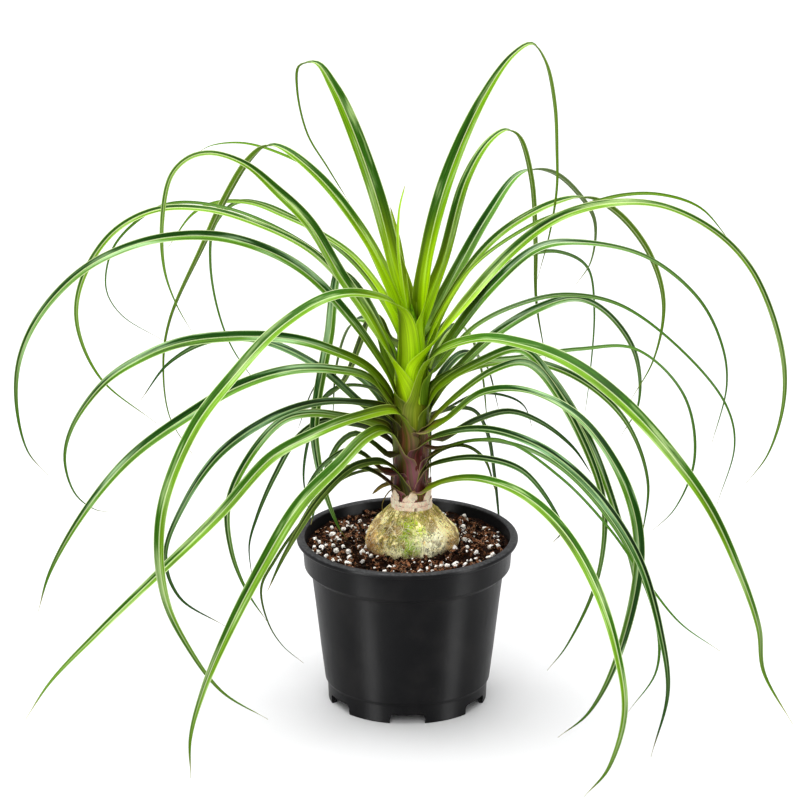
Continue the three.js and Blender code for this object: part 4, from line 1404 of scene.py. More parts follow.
@dataclass(frozen=True)
class PaperFinish:
    """Dry papery bracts at the neck: pinkish cream with fine tan veins and browned torn edges."""

    cream: Colour = srgb(255, 240, 212)
    pink: Colour = srgb(255, 218, 190)
    tan: Colour = srgb(226, 176, 120)
    brown: Colour = srgb(108, 60, 28)

    def build(self) -> Material:
        """Makes the material.

        Returns:
            The material.
        """
        g = Graph("papery_bract")
        place = g.place()
        edge = g.attribute("paper_edge")
        tip = g.attribute("paper_tip")
        fibre = g.noise(g.stretched(place, (1.0, 1.0, 0.6)), 620.0, 4.0, 0.8)
        broad = g.noise(place, 230.0, 3.0)
        colour = g.mix(g.remap(broad, 0.42, 0.66), self.cream, self.pink)
        colour = g.shade(colour, g.remap(fibre, 0.3, 0.6), 0.84, 1.16)
        dry = g.times(g.remap(tip, 0.25, 1.0), g.remap(broad, 0.3, 0.6, 0.5, 1.0))
        colour = g.mix(g.times(dry, 0.8), colour, self.tan)
        worn = g.times(g.remap(edge, 0.45, 0.85), g.remap(broad, 0.35, 0.55, 0.4, 1.0))
        worn = g.math("ADD", worn, g.times(g.remap(tip, 0.6, 0.95), 0.5))
        g.set(
            Base_Color=g.mix(worn, colour, self.brown),
            Roughness=g.remap(fibre, 0.2, 0.8, 0.45, 0.7),
            Normal=g.bump(fibre, 0.5, 0.0004),
        )
        return g.material


@dataclass(frozen=True)
class Strands:
    """A set of fine fibres that lie on the swollen base, as slim tubes, in millimetres.

    start is the range of heights where they begin, heading_spread how far they stray from straight down and
    curl how much they wind, in radians, thick their range of radii, knots how many points one has, and lift
    how far their middles lie off the bark, in radii.
    """

    name: str
    count: int
    start: Pair
    heading_spread: float
    curl: float
    thick: Pair
    knots: tuple[int, int]
    lift: float
    sides: int = 5
    lowest: float = 119.0
    highest: float = 153.0


@dataclass(frozen=True)
class Tier:
    """One ring of papery bracts round the neck, in millimetres.

    low, high and radius place it, shift turns it by a share of one bract, jag is how ragged its top is, point
    how far each bract narrows to its tip, lean how far the tips stand out, and half_share half the width of a
    bract as a share of its place in the ring.
    """

    count: int
    low: float
    high: float
    radius: float
    shift: float
    jag: float
    point: float
    lean: Pair
    half_share: Pair
    thickness: float = 0.3

    ROWS: ClassVar[int] = 11
    COLUMNS: ClassVar[int] = 23

    def bract(self, i: int, draw: Draw) -> list[tuple[Triple, float, float]]:
        """Shapes one torn sheet, its outer side first.

        Args:
            i: Its place in the ring.
            draw: Source of its uneven shape.

        Returns:
            Its points, each with how near it is to a torn edge and how near to the tip.
        """
        centre = 2 * math.pi * (i + self.shift) / self.count + draw.uniform(-0.15, 0.15)
        half = math.pi / self.count * draw.uniform(*self.half_share)
        top = self.high + draw.uniform(-self.jag, self.jag)
        lean = draw.uniform(*self.lean)
        peak = draw.uniform(-0.35, 0.35)
        base = self.radius + draw.uniform(-0.15, 0.25)
        teeth = draw.uniform(-1, 1, self.COLUMNS) * 0.35
        foot = draw.uniform(-1, 1, self.COLUMNS) * (0.9 - 0.5 * self.point)
        found = []
        for side in (0, 1):
            for r in range(self.ROWS):
                share = r / (self.ROWS - 1)
                narrow = 1 - self.point * share**1.3
                for c in range(self.COLUMNS):
                    u = 2 * c / (self.COLUMNS - 1) - 1
                    angle = centre + half * (u * narrow + peak * self.point * share**2)
                    rise = top - self.jag * 0.6 * abs(u) * (1 - self.point) + teeth[c] * narrow
                    fall = self.low + foot[c] + 0.8 * u * u
                    height = fall + (rise - fall) * share
                    swell = 0.9 * math.sin(math.pi * min(share * 0.9, 1)) + lean * share**2
                    ripple = 0.3 * noise.noise(Vector((u * 3, share * 2, i + self.low)))
                    tuck = 0.5 * abs(u) ** 3 * (1 - share)
                    skin = base + swell - side * self.thickness + ripple - tuck
                    spot = (AXIS_X + skin * math.cos(angle), skin * math.sin(angle), height)
                    torn = max(abs(u) ** 4, share**5, 0.8 * (1 - share) ** 8)
                    found.append((spot, torn, share * self.point))
        return found


@dataclass(frozen=True)
class Caudex:
    """Swollen base and stem, the fibres that net the base, and the papery bracts at its neck.

    The stem's skin stands out by skin millimetres below skin_top, and fades into its outline over skin_fade.
    """

    shape: StemShape
    sides: int = 200
    ring_step: float = 1.1
    seed: int = 7
    skin: float = 1.5
    skin_top: float = 285.0
    skin_fade: float = 40.0

    NETS: ClassVar[tuple[Strands, ...]] = (
        Strands("caudex_fibres", 150, (121, 152), 1.0, 0.5, (0.16, 0.32), (6, 15), 0.5),
        Strands("neck_fibres", 120, (149, 153), 0.35, 0.16, (0.2, 0.36), (4, 8), 0.8),
    )
    FIBRES: ClassVar[tuple[FibreFinish, ...]] = (
        FibreFinish("pale_fibre", srgb(255, 244, 196), srgb(190, 166, 88)),
        FibreFinish("golden_fibre", srgb(206, 186, 104), srgb(150, 142, 48)),
    )
    TIERS: ClassVar[tuple[Tier, ...]] = (
        Tier(3, 149.5, 156.0, 14.5, 0.0, 0.5, 0.0, (0.0, 0.3), (1.2, 1.35)),
        Tier(3, 153.0, 160.0, 14.2, 0.4, 0.7, 0.0, (0.0, 0.5), (1.15, 1.3)),
        Tier(7, 156.0, 166.5, 13.9, 0.2, 1.4, 0.92, (-0.6, 0.8), (1.1, 1.5)),
        Tier(6, 157.5, 172.0, 14.1, 0.65, 2.2, 0.97, (0.6, 3.0), (0.7, 1.1)),
    )

    def relief(self, x: float, y: float, z: float) -> float:
        """Finds how far the bark stands out from the smooth base, which it does below the neck alone.

        Args:
            x: Place from left to right, from the plant's axis.
            y: Place from front to back.
            z: Height.

        Returns:
            Millimetres.
        """
        share = float(smooth_step((153 - z) / 6))
        spot = Vector((x, y, z))
        broad = noise.noise(spot * 0.09) * 0.9
        ridge = 0.35 - abs(noise.noise(spot * 0.33 + Vector((7, 3, 1))))
        fine = noise.noise(spot * 0.9) * 0.18
        return share * (broad + ridge * 0.9 + fine)

    def surface(self, radius: float, angle: float, height: float, lift: float = 0.0) -> Triple:
        """Finds a point on the bark.

        Args:
            radius: Radius of the smooth outline there.
            angle: Direction from the plant's axis, in radians.
            height: Its height.
            lift: How far it stands above the bark.

        Returns:
            The point.
        """
        scale = self.shape.lump(angle, height)
        x, y = radius * math.cos(angle), radius * math.sin(angle)
        factor = scale + (self.relief(x, y, height) + lift) / max(radius, 1.0)
        return (x * factor + AXIS_X, y * factor, height)

    def lathe(self, name: str, outline: Route, topped: bool) -> Piece:
        """Makes a round body from an outline, with the bark's relief.

        Args:
            name: The piece's name.
            outline: (radius, height) points, lowest first.
            topped: Whether it is closed above.

        Returns:
            The piece.
        """
        profile = np.array([(r, z, 0.0) for r, z in outline])
        gaps = np.linalg.norm(np.diff(profile, axis=0), axis=1)
        dense, _ = catmull_rom(profile, [max(1, math.ceil(gap / self.ring_step)) for gap in gaps])
        points = []
        for radius, height, _ in dense:
            for j in range(self.sides):
                points.append(self.surface(max(radius, 0.2), 2 * math.pi * j / self.sides, height))
        return mesh_piece(name, np.array(points), tube_faces(len(dense), self.sides, 0, topped), 70.0)

    def fibre(self, strands: Strands, draw: Draw) -> tuple[Array, float]:
        """Draws the path of one fibre down the bark.

        Args:
            strands: The set it belongs to.
            draw: Source of its path.

        Returns:
            The points along its middle, and its radius.
        """
        angle = draw.uniform(0, 2 * math.pi)
        height = draw.uniform(*strands.start)
        heading = draw.normal(-math.pi / 2, strands.heading_spread)
        bend = draw.normal(0, strands.curl * 0.5)
        thick = draw.uniform(*strands.thick)
        path = []
        for _ in range(int(draw.integers(*strands.knots))):
            path.append(self.surface(self.shape.base_radius(height), angle, height, thick * strands.lift))
            heading += bend + draw.normal(0, strands.curl * 0.4)
            angle += 1.4 * math.cos(heading) / max(self.shape.base_radius(height), 10)
            height = float(np.clip(height + 1.3 * math.sin(heading), strands.lowest, strands.highest))
        return np.array(path), thick

    def net(self, strands: Strands, draw: Draw) -> Piece:
        """Makes root-like fibres that wander over the base.

        Args:
            strands: How many there are, where they start, and how thick and curled they are.
            draw: Source of their paths.

        Returns:
            The piece.
        """
        points: list[tuple[float, ...]] = []
        faces: list[Face] = []
        turns = [2 * math.pi * k / strands.sides for k in range(strands.sides)]
        for _ in range(strands.count):
            track, thick = self.fibre(strands, draw)
            ahead = np.gradient(track, axis=0)
            ahead /= np.linalg.norm(ahead, axis=1, keepdims=True) + 1e-9
            out = track - np.array((AXIS_X, 0, 118))
            out /= np.linalg.norm(out, axis=1, keepdims=True)
            beside = np.cross(ahead, out)
            beside /= np.linalg.norm(beside, axis=1, keepdims=True) + 1e-9
            faces += tube_faces(len(track), strands.sides, len(points))
            for i, spot in enumerate(track):
                size = thick * (0.35 + 0.65 * math.sin(math.pi * (i + 0.5) / len(track)))
                for turn in turns:
                    points.append(tuple(spot + size * (math.cos(turn) * beside[i] + math.sin(turn) * out[i])))
        return mesh_piece(strands.name, np.array(points), faces, 80.0)

    def bracts(self) -> Piece:
        """Wraps the neck in torn papery sheets, the lower ones as bands and the upper ones as pointed flaps.

        Returns:
            The piece.
        """
        draw = np.random.default_rng(self.seed + 4)
        corners: list[tuple[Triple, float, float]] = []
        faces: list[Face] = []
        for tier in self.TIERS:
            for i in range(tier.count):
                faces += sheet_faces(tier.ROWS, tier.COLUMNS, len(corners))
                corners += tier.bract(i, draw)
        points, edges, tips = zip(*corners)
        piece = mesh_piece("papery_bracts", np.array(points), faces, 60.0)
        store(piece, "paper_edge", np.array(edges))
        store(piece, "paper_tip", np.array(tips))
        return piece

    def build(self) -> list[Piece]:
        """Builds and dresses the base, the stem, the fibres and the bracts.

        Returns:
            The pieces.
        """
        base = self.lathe("caudex_base", ((4, 90.5), *self.shape.caudex, *self.shape.collar), False)
        outline = []
        for radius, height in self.shape.stem:
            share = float(np.clip((self.skin_top - height) / self.skin_fade, 0, 1))
            outline.append((radius + self.skin * share, height))
        stem = self.lathe("stem_core", tuple(outline), True)
        pieces = [
            dress(base, CaudexFinish().build(), Slot.CAUDEX, "caudex_and_stem"),
            dress(stem, StemFinish().build(), Slot.CAUDEX, "caudex_and_stem"),
        ]
        draw = np.random.default_rng(self.seed)
        for strands, finish in zip(self.NETS, self.FIBRES):
            pieces.append(dress(self.net(strands, draw), finish.build(), Slot.CAUDEX))
        pieces.append(dress(self.bracts(), PaperFinish().build(), Slot.CAUDEX))
        return pieces


@dataclass(frozen=True)
class PotShape:
    """Moulded nursery pot, in millimetres: a wall below a collar with a rolled lip, on a notched foot."""

    height: float = 128
    rim_radius: float = 82.5
    lip_height: float = 4.5
    collar_height: float = 18
    collar_top: float = 78.3
    collar_bottom: float = 76.8
    collar_step: float = 4.6
    wall_top: float = 71.6
    wall_bottom: float = 61.4
    base_step: float = 17
    foot_top: float = 59.6
    foot: float = 59
    wall: float = 1.8
    floor_bottom: float = 6.5
    floor_top: float = 8.6
    notches: int = 6
    notch_width: float = 26
    notch_height: float = 7.6
    notch_corner: float = 3

    @property
    def lip_bottom(self) -> float:
        """Height of the lip's underside."""
        return self.height - self.lip_height

    @property
    def collar_foot(self) -> float:
        """Height of the collar's lower edge."""
        return self.lip_bottom - self.collar_height

    @property
    def ledge(self) -> float:
        """Height where the wall ends below the collar."""
        return self.collar_foot - self.collar_step

    def inner_radius(self, height: float) -> float:
        """Finds the radius of the inside of the pot.

        Args:
            height: Where it is measured.

        Returns:
            The radius there.
        """
        heights = (self.floor_top, self.ledge, self.collar_foot, self.height)
        share = (self.floor_top - self.base_step) / (self.ledge - self.base_step)
        low = self.wall_bottom + (self.wall_top - self.wall_bottom) * share
        radii = (low, self.wall_top, self.collar_bottom, self.collar_top)
        return float(np.interp(height, heights, radii)) - self.wall


POT = PotShape()


@dataclass(frozen=True)
class PlasticFinish:
    """Black moulded plastic: satin, faint drag lines down the wall, dust, specks, a worn lip with a painted
    highlight.
    """

    black: Colour = srgb(5, 5, 6)
    dusty: Colour = srgb(20, 19, 19)
    speck: Colour = srgb(110, 100, 88)
    # Paler grey of the lip's top: partly wear and partly a painted highlight.
    rubbed_and_highlight: Colour = srgb(86, 86, 88)
    lip: Pair = (0.1266, 0.1278)

    def build(self) -> Material:
        """Makes the material.

        Returns:
            The material.
        """
        g = Graph("pot_plastic")
        place = g.place()
        height = g.split(place)[2]
        drag = g.noise(g.stretched(place, (1.0, 1.0, 0.04)), 420.0, 3.0)
        clouds = g.noise(place, 38.0, 4.0)
        colour = g.mix(g.remap(clouds, 0.45, 0.8, 0.0, 0.5), self.black, self.dusty)
        colour = g.shade(colour, drag, 0.86, 1.14)
        specks = g.remap(g.cells(place, 520.0), 0.03, 0.09, 0.5, 0.0)
        specks = g.times(specks, g.remap(g.noise(place, 90.0), 0.52, 0.7))
        colour = g.mix(specks, colour, self.speck)
        # Painted highlight along the lip's top, partly wear, broken up by the drag lines.
        lip = g.times(g.remap(height, *self.lip), g.remap(drag, 0.3, 0.7, 0.35, 1.0))
        colour = g.mix(g.times(lip, 0.4), colour, self.rubbed_and_highlight)
        worn = g.math("ADD", g.times(clouds, 0.6), g.times(drag, 0.4))
        grain = g.noise(place, 2600.0, 2.0)
        g.set(
            Base_Color=colour,
            Roughness=g.remap(worn, 0.25, 0.75, 0.38, 0.48),
            Specular_IOR_Level=0.12,
            Anisotropic=0.9,
            Anisotropic_Rotation=0.25,
            Tangent=g.around(),
            Normal=g.bump(grain, 0.12, 0.0003, g.bump(drag, 0.08, 0.0004)),
        )
        return g.material


def arc(centre: Pair, radius: float, start: float, end: float, steps: int) -> list[Pair]:
    """Points of a round corner, from one direction to another in degrees."""
    angles = [math.radians(start + (end - start) * i / steps) for i in range(steps + 1)]
    return [(centre[0] + radius * math.cos(angle), centre[1] + radius * math.sin(angle)) for angle in angles]


@dataclass(frozen=True)
class Pot:
    """The pot as one smooth turned body with rounded edges, its foot cut by six arched notches."""

    shape: PotShape
    sides: int = 256
    sharp_deg: float = 32.0

    NOTCH_REACH: ClassVar[Pair] = (44.0, 66.0)

    def outline(self) -> list[Pair]:
        """Draws the wall's section, with its edges eased by parts of a millimetre.

        Returns:
            (radius, height) points, anticlockwise from the middle of the underside.
        """
        s = self.shape
        lip = s.lip_height / 2
        inner = s.foot - s.wall - 2
        return [
            (0.01, s.floor_bottom),
            (inner - 0.6, s.floor_bottom),
            (inner, s.floor_bottom - 0.6),
            (inner, 0.5),
            (inner + 0.5, 0.0),
            (s.foot - 0.8, 0.0),
            *arc((s.foot - 0.8, 0.8), 0.8, -60, 0, 3),
            (s.foot_top - 0.05, s.base_step - 3.4),
            (s.foot_top + 0.15, s.base_step - 2.6),
            (s.wall_bottom - 0.5, s.base_step - 0.7),
            (s.wall_bottom - 0.12, s.base_step - 0.3),
            (s.wall_bottom + 0.05, s.base_step + 0.5),
            (s.wall_bottom + 3.0, s.base_step + 24.0),
            (s.wall_top - 3.0, s.ledge - 24.0),
            (s.wall_top - 0.1, s.ledge - 0.8),
            (s.wall_top + 0.1, s.ledge - 0.1),
            (s.wall_top + 0.5, s.ledge + 0.5),
            (s.collar_bottom - 0.7, s.collar_foot - 0.9),
            (s.collar_bottom - 0.15, s.collar_foot - 0.2),
            (s.collar_bottom + 0.05, s.collar_foot + 0.5),
            (s.collar_top - 0.1, s.lip_bottom - 0.9),
            (s.collar_top + 0.25, s.lip_bottom - 0.15),
            *arc((s.rim_radius - lip, s.lip_bottom + lip), lip, -88, 90, 12),
            *arc((s.inner_radius(s.height) + 1.2, s.height - 1.2), 1.2, 90, 178, 6),
            (s.inner_radius(s.collar_foot), s.collar_foot + 0.4),
            (s.inner_radius(s.collar_foot) - 0.4, s.collar_foot - 0.4),
            (s.inner_radius(s.ledge) + 0.2, s.ledge + 0.4),
            (s.inner_radius(s.ledge), s.ledge - 0.4),
            (s.inner_radius(s.floor_top), s.floor_top + 1.2),
            (s.inner_radius(s.floor_top) - 1.2, s.floor_top),
            (0.01, s.floor_top),
        ]

    def notch_tools(self) -> Piece:
        """Makes the arched blocks that are cut from the foot.

        Returns:
            One mesh of them all.
        """
        s = self.shape
        half, corner = s.notch_width / 2, s.notch_corner
        arch = [(-half, -2.0), (half, -2.0)]
        arch += arc((half - corner, s.notch_height - corner), corner, 0, 90, 8)
        arch += arc((corner - half, s.notch_height - corner), corner, 90, 180, 8)
        points, faces = [], []
        for i in range(s.notches):
            angle = math.radians(-90 + 360 / s.notches * i)
            out = np.array((math.cos(angle), math.sin(angle), 0))
            beside = np.array((-math.sin(angle), math.cos(angle), 0))
            faces += tube_faces(2, len(arch), len(points))
            for reach in self.NOTCH_REACH:
                points += [tuple(out * reach + beside * x + np.array((0, 0, z))) for x, z in arch]
        return mesh_piece("notch_tools", np.array(points), faces)

    def notched(self, body: Piece) -> None:
        """Cuts the notches out of the turned body.

        Args:
            body: The turned body, which gets the cut mesh.
        """
        tools = self.notch_tools()
        cut = body.modifiers.new("notches", "BOOLEAN")
        cut.operation = "DIFFERENCE"
        cut.solver = "EXACT"
        cut.object = tools
        bpy.context.view_layer.update()
        made = bpy.data.meshes.new_from_object(body.evaluated_get(bpy.context.evaluated_depsgraph_get()))
        body.modifiers.clear()
        body.data = made
        made.polygons.foreach_set("use_smooth", [True] * len(made.polygons))
        made.set_sharp_from_angle(angle=math.radians(self.sharp_deg))
        bpy.data.objects.remove(tools)

    def build(self) -> list[Piece]:
        """Turns the outline, cuts the notches and dresses the pot.

        Returns:
            The pot.
        """
        section = self.outline()
        points = [spot for radius, height in section for spot in ring(radius, height, self.sides)]
        body = mesh_piece("pot_body", np.array(points), tube_faces(len(section), self.sides))
        self.notched(body)
        return [dress(body, PlasticFinish().build(), Slot.POT, "pot")]


@dataclass(frozen=True)
class EarthFinish:
    """Damp potting mix, bark or perlite: two tones in patches over a rough surface, with paler flecks.

    fleck_share is how strongly the flecks show, patch_scale how many patches lie in a metre, depth how rough
    the surface is, in metres, and roughness how dull it is where it is dark and where it is light.
    """

    name: str
    dark: Colour
    light: Colour
    fleck: Colour
    fleck_share: float
    patch_scale: float
    depth: float
    roughness: Pair

    def build(self) -> Material:
        """Makes the material.

        Returns:
            The material.
        """
        g = Graph(self.name)
        place = g.place()
        patches = g.noise(place, self.patch_scale, 4.0, 0.3)
        fine = g.noise(place, 1700.0, 3.0)
        colour = g.mix(g.remap(patches, 0.38, 0.64), self.dark, self.light)
        colour = g.shade(colour, g.remap(fine, 0.3, 0.7), 0.55, 1.5)
        colour = g.mix(g.remap(fine, 0.58, 0.72, 0.0, self.fleck_share), colour, self.fleck)
        g.set(
            Base_Color=colour,
            Roughness=g.remap(patches, 0.3, 0.7, *self.roughness),
            Specular_IOR_Level=0.06,
            Normal=g.bump(fine, 0.7, self.depth, g.bump(patches, 0.5, self.depth * 2)),
        )
        return g.material


EARTH = EarthFinish(
    "potting_mix", srgb(7, 2, 1), srgb(38, 18, 9), srgb(120, 78, 48), 0.5, 260.0, 0.0009, (0.6, 0.95))
BARK = EarthFinish(
    "bark_chip", srgb(14, 5, 2), srgb(128, 80, 52), srgb(246, 208, 168), 0.9, 420.0, 0.0006, (0.5, 0.8))
PERLITE = EarthFinish(
    "perlite", srgb(236, 230, 222), srgb(255, 253, 250), srgb(178, 160, 144), 0.4, 500.0, 0.0005, (0.7, 0.95))


@dataclass(frozen=True)
class Grain:
    """The shape of one loose grain, of about unit radius."""

    points: Array
    faces: list[Face]


@dataclass(frozen=True)
class Grains:
    """One kind of loose grain on the soil.

    size is the smallest and largest radius in millimetres, flat stretches each grain axis by axis, sink is
    how many of its least radii the middle lies above the bed, and tilt how far it may lean, in radians.
    """

    name: str
    count: int
    size: Pair
    flat: Triple
    sink: float
    tilt: float


@dataclass(frozen=True)
class Soil:
    """Potting mix: a lumpy bed that fills the pot, with crumbs, bark chips and perlite on it, in millimetres.

    top is the level of the bed and mound how far it rises round the plant. gap keeps it off the pot, and
    hollow_gap off the swollen base, which is hollow_radius wide at hollow_height. WALL lists heights up the
    pot's wall, and HOLLOW is the (radius, height) outline below the plant. Loose grains lie from nearest to
    wall_gap before the wall, and none nearer than clear to the plant's axis.
    """

    pot: PotShape
    caudex: StemShape
    top: float = 120.0
    mound: float = 2.2
    gap: float = 0.3
    hollow_radius: float = 33.6
    hollow_height: float = 122.0
    hollow_gap: float = 0.2
    clear: float = 34.2
    wall_gap: float = 0.4
    nearest: float = 33.5
    sides: int = 260
    rings: int = 60
    seed: int = 41

    WALL: ClassVar[tuple[float, ...]] = (9.2, 40.0, 70.0)
    HOLLOW: ClassVar[Route] = ((33.4, 117.0), (29.6, 108.0), (22.6, 97.0), (12.5, 91.0), (0.2, 89.6))
    CRUMBS: ClassVar[Grains] = Grains("soil_crumbs", 1500, (0.5, 2.0), (1.1, 0.9, 0.8), 0.2, 1.5)
    CHIPS: ClassVar[Grains] = Grains("bark_chips", 900, (0.7, 3.2), (1.6, 0.75, 0.36), 0.6, 1.2)
    PERLITES: ClassVar[Grains] = Grains("perlite_grains", 300, (0.6, 2.5), (1.0, 0.95, 0.85), 0.6, 1.5)

    def level(self, x: float, y: float) -> float:
        """Finds the height of the surface, with its slow waves and the mound round the plant.

        Args:
            x: Place from left to right.
            y: Place from front to back.

        Returns:
            The height.
        """
        wave = math.sin(x * 0.11 + 1.3) * math.cos(y * 0.13 - 0.4) + 0.5 * math.sin(x * 0.23 - y * 0.19)
        reach = math.hypot(x - AXIS_X, y)
        return self.top + self.mound * (0.45 * wave + float(smooth_step((60 - reach) / 30)) - 0.3)

    def lumps(self, x: float, y: float) -> float:
        """Finds how far the crumbly surface stands above its level.

        Args:
            x: Place from left to right.
            y: Place from front to back.

        Returns:
            Millimetres, negative in hollows.
        """
        spot = Vector((x, y, 0))
        coarse = noise.noise(spot * 0.22) * 1.0
        middle = abs(noise.noise(spot * 0.5 + Vector((3, 9, 2)))) * 2.2
        fine = noise.noise(spot * 1.2) * 0.5
        return coarse + middle + fine - 0.5

    def surface(self) -> list[Triple]:
        """Lays the rings of the surface, from the pot's wall to the swollen base.

        Returns:
            The points, outermost ring first.
        """
        edge = self.pot.inner_radius(self.top) - self.gap
        angles = [2 * math.pi * j / self.sides for j in range(self.sides)]
        points = []
        for i in range(self.rings):
            share = i / (self.rings - 1)
            settle = smooth_step(share / 0.04)
            for angle in angles:
                inner = self.hollow_radius * self.caudex.lump(angle, self.hollow_height) + self.hollow_gap
                outer = np.array((edge * math.cos(angle), edge * math.sin(angle)))
                near = np.array((inner * math.cos(angle) + AXIS_X, inner * math.sin(angle)))
                x, y = outer * (1 - share) + near * share
                points.append((x, y, self.level(x, y) + self.lumps(x, y) * settle))
        return points

    def hollow(self) -> list[Triple]:
        """Lays the rings of the hollow that the swollen base sits in.

        Returns:
            The points, uppermost ring first.
        """
        angles = [2 * math.pi * j / self.sides for j in range(self.sides)]
        points = []
        for radius, height in self.HOLLOW:
            for angle in angles:
                reach = radius * self.caudex.lump(angle, height)
                points.append((reach * math.cos(angle) + AXIS_X, reach * math.sin(angle), height))
        return points

    def bed(self) -> Piece:
        """Makes the body of soil, closed below.

        Returns:
            The piece.
        """
        points = []
        for height in (*self.WALL, self.pot.ledge, self.pot.collar_foot, self.top - 3.0):
            points += ring(self.pot.inner_radius(height) - self.gap, height, self.sides)
        points += self.surface() + self.hollow()
        faces = tube_faces(len(points) // self.sides, self.sides)
        return mesh_piece("soil_bed", np.array(points), faces, 80.0)

    def grain(self, draw: Draw, level: int, rough: float) -> Grain:
        """Shapes one grain.

        Args:
            draw: Source of its uneven shape.
            level: How finely the ball it starts from is cut.
            rough: How uneven it is.

        Returns:
            The grain.
        """
        ball = bmesh.new()
        bmesh.ops.create_icosphere(ball, subdivisions=level, radius=1.0)
        shift = Vector(draw.uniform(0, 50, 3))
        points = []
        for vertex in ball.verts:
            broad = rough * noise.noise(vertex.co * 1.3 + shift)
            fine = rough * 0.4 * noise.noise(vertex.co * 3.1 + shift)
            points.append(vertex.co * (1 + broad + fine))
        faces = [tuple(vertex.index for vertex in face.verts) for face in ball.faces]
        ball.free()
        return Grain(np.array(points), faces)

    def turned(self, grains: Grains, draw: Draw) -> Array:
        """Turns one grain at random.

        Args:
            grains: Its kind.
            draw: Source of its angles.

        Returns:
            A rotation matrix.
        """
        lean = draw.uniform(-grains.tilt, grains.tilt)
        nod = draw.uniform(-grains.tilt, grains.tilt)
        spin = draw.uniform(0, 2 * math.pi)
        cx, sx, cy, sy, cz, sz = (f(a) for a in (lean, nod, spin) for f in (math.cos, math.sin))
        turn = np.array(((cz, -sz, 0), (sz, cz, 0), (0, 0, 1)))
        turn = turn @ np.array(((cy, 0, sy), (0, 1, 0), (-sy, 0, cy)))
        return turn @ np.array(((1, 0, 0), (0, cx, -sx), (0, sx, cx)))

    def scatter(self, grains: Grains, shapes: list[Grain]) -> Piece:
        """Strews one kind of grain over the bed, as one mesh.

        Args:
            grains: How many there are, and how they lie.
            shapes: The shapes that they are copies of.

        Returns:
            The piece.
        """
        draw = np.random.default_rng(self.seed + grains.count)
        smallest, largest = grains.size
        points, faces, start = [], [], 0
        for i in range(grains.count):
            radius = smallest + (largest - smallest) * draw.random() ** 2
            farthest = self.pot.inner_radius(self.top) - radius * max(grains.flat) - self.wall_gap
            reach = math.sqrt(draw.uniform(self.nearest**2, farthest**2))
            angle = draw.uniform(0, 2 * math.pi)
            x, y = reach * math.cos(angle), reach * math.sin(angle)
            if math.hypot(x - AXIS_X, y) < self.clear:
                continue
            turn = self.turned(grains, draw)
            shape = shapes[i % len(shapes)]
            stretch = np.array(grains.flat) * draw.uniform(0.75, 1.2, 3)
            height = self.level(x, y) + self.lumps(x, y) + grains.sink * radius * min(grains.flat)
            points.append(shape.points * stretch * radius @ turn.T + np.array((x, y, height)))
            faces += [tuple(k + start for k in face) for face in shape.faces]
            start += len(shape.points)
        return mesh_piece(grains.name, np.concatenate(points), faces, 45.0)

    def build(self) -> list[Piece]:
        """Builds and dresses the bed and all that lies on it.

        Returns:
            The pieces.
        """
        draw = np.random.default_rng(self.seed)
        rounded = [self.grain(draw, 2, 0.5) for _ in range(6)]
        chunks = [self.grain(draw, 1, 1.1) for _ in range(8)]
        mix = EARTH.build()
        return [
            dress(self.bed(), mix, Slot.SOIL, "soil"),
            dress(self.scatter(self.CRUMBS, chunks), mix, Slot.SOIL),
            dress(self.scatter(self.CHIPS, chunks), BARK.build(), Slot.SOIL),
            dress(self.scatter(self.PERLITES, rounded), PERLITE.build(), Slot.SOIL),
        ]


@dataclass(frozen=True)
class Softbox:
    """A rectangular lamp that points at the plant, in metres and watts.

    lights names the collection of pieces that it lights, and is empty for a lamp that lights all.
    """

    name: str
    place: Triple
    size: Pair
    watts: float
    lights: str = ""

    def build(self, aim: Triple) -> None:
        """Adds the lamp.

        Args:
            aim: The point it is turned to.
        """
        data = bpy.data.lights.new(self.name, "AREA")
        data.shape = "RECTANGLE"
        data.size, data.size_y = self.size
        data.energy = self.watts
        lamp = bpy.data.objects.new(self.name, data)
        bpy.context.scene.collection.objects.link(lamp)
        lamp.location = self.place
        lamp.rotation_euler = (Vector(aim) - Vector(self.place)).to_track_quat("-Z", "Y").to_euler()
        if self.lights:
            lamp.light_linking.receiver_collection = bpy.data.collections[self.lights]


@dataclass(frozen=True)
class PaperFloorFinish:
    """Smooth pale paper under the pot, in two near tones."""

    light: Colour = srgb(220, 220, 221)
    shade: Colour = srgb(216, 216, 217)

    def build(self) -> Material:
        """Makes the material.

        Returns:
            The material.
        """
        g = Graph("floor_paper")
        tone = g.noise(g.place(), 3.0, 2.0)
        g.set(Base_Color=g.mix(tone, self.light, self.shade), Roughness=0.9, Specular_IOR_Level=0.1)
        return g.material


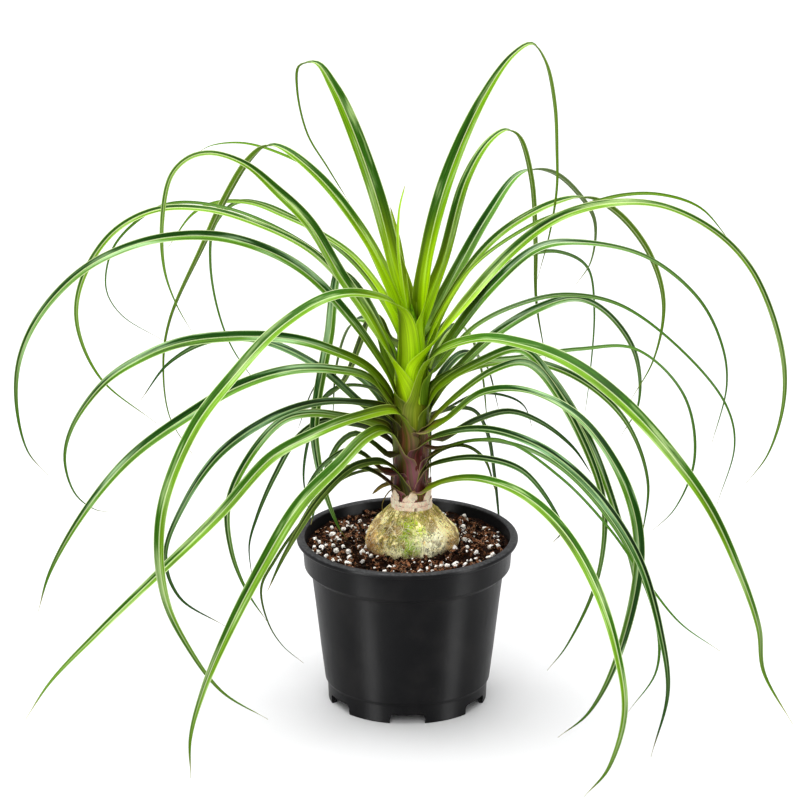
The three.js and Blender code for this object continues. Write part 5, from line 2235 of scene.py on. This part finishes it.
@dataclass(frozen=True)
class Studio:
    """Pale floor, soft white light from all round and above, and the camera of the photograph.

    distance, frame_width, sensor and target set the camera, in metres but for the sensor's millimetres, and
    elevation is its height in degrees. floor_half is half the floor's width in millimetres.
    """

    distance: float = 6.0
    frame_width: float = 0.592
    sensor: float = 36.0
    elevation: float = 20.0
    target: Triple = (-0.0055, 0.0, 0.235)
    sky: float = 0.5
    floor_half: float = 7000.0

    SOFTBOXES: ClassVar[tuple[Softbox, ...]] = (
        Softbox("overhead", (-0.3, 0.7, 4.0), (5.0, 5.0), 300.0),
        Softbox("key", (-1.1, -1.4, 2.4), (0.8, 0.8), 50.0, ALL_PIECES),
        Softbox("floor_fill", (-0.2, -2.2, 1.6), (2.5, 1.5), 34.0, FLOOR),
        Softbox("left_strip", (-1.71, -1.6, 0.4), (0.6, 1.0), 100.0, Slot.POT.value),
        Softbox("right_strip", (1.97, -1.14, 0.4), (0.7, 1.0), 90.0, Slot.POT.value),
    )

    def floor(self) -> None:
        """Lays a wide pale floor."""
        half = self.floor_half
        corners = np.array(((-half, -half, 0), (half, -half, 0), (half, half, 0), (-half, half, 0)))
        floor = mesh_piece("floor", corners, [(0, 1, 2, 3)])
        floor.data.materials.append(PaperFloorFinish().build())
        bpy.data.collections.new(FLOOR).objects.link(floor)

    def camera(self) -> None:
        """Sets the camera, at the photograph's distance and height."""
        data = bpy.data.cameras.new("camera")
        data.sensor_width = self.sensor
        data.lens = self.sensor * self.distance / self.frame_width
        camera = bpy.data.objects.new("camera", data)
        bpy.context.scene.collection.objects.link(camera)
        tilt = math.radians(self.elevation)
        back = Vector((0, -math.cos(tilt), math.sin(tilt)))
        camera.location = Vector(self.target) + back * self.distance
        camera.rotation_euler = (math.radians(90 - self.elevation), 0, 0)
        bpy.context.scene.camera = camera

    def sky_light(self) -> None:
        """Sets plain white light from all round."""
        world = bpy.data.worlds.new("studio")
        world.use_nodes = True
        sky = world.node_tree.nodes["Background"]
        sky.inputs["Color"].default_value = (1.0, 1.0, 1.0, 1.0)
        sky.inputs["Strength"].default_value = self.sky
        bpy.context.scene.world = world

    def build(self) -> None:
        """Sets the sky, the floor, the softboxes and the camera."""
        bpy.context.scene.view_settings.view_transform = "Standard"
        self.sky_light()
        self.floor()
        for softbox in self.SOFTBOXES:
            softbox.build(self.target)
        self.camera()


def main() -> None:
    """Builds the assemblies in order, reports each piece, and sets up the studio."""
    logging.basicConfig(level=logging.INFO)
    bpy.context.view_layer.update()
    crown = Crown(LEAVES, YOUNG_LEAVES, DRIED_LEAVES)
    for assembly in (Pot(POT), Soil(POT, STEM), Caudex(STEM), crown):
        for piece in assembly.build():
            LOG.info("%s: %d faces", piece.name, len(piece.data.polygons))
    Studio().build()


if __name__ == "__main__":
    main()
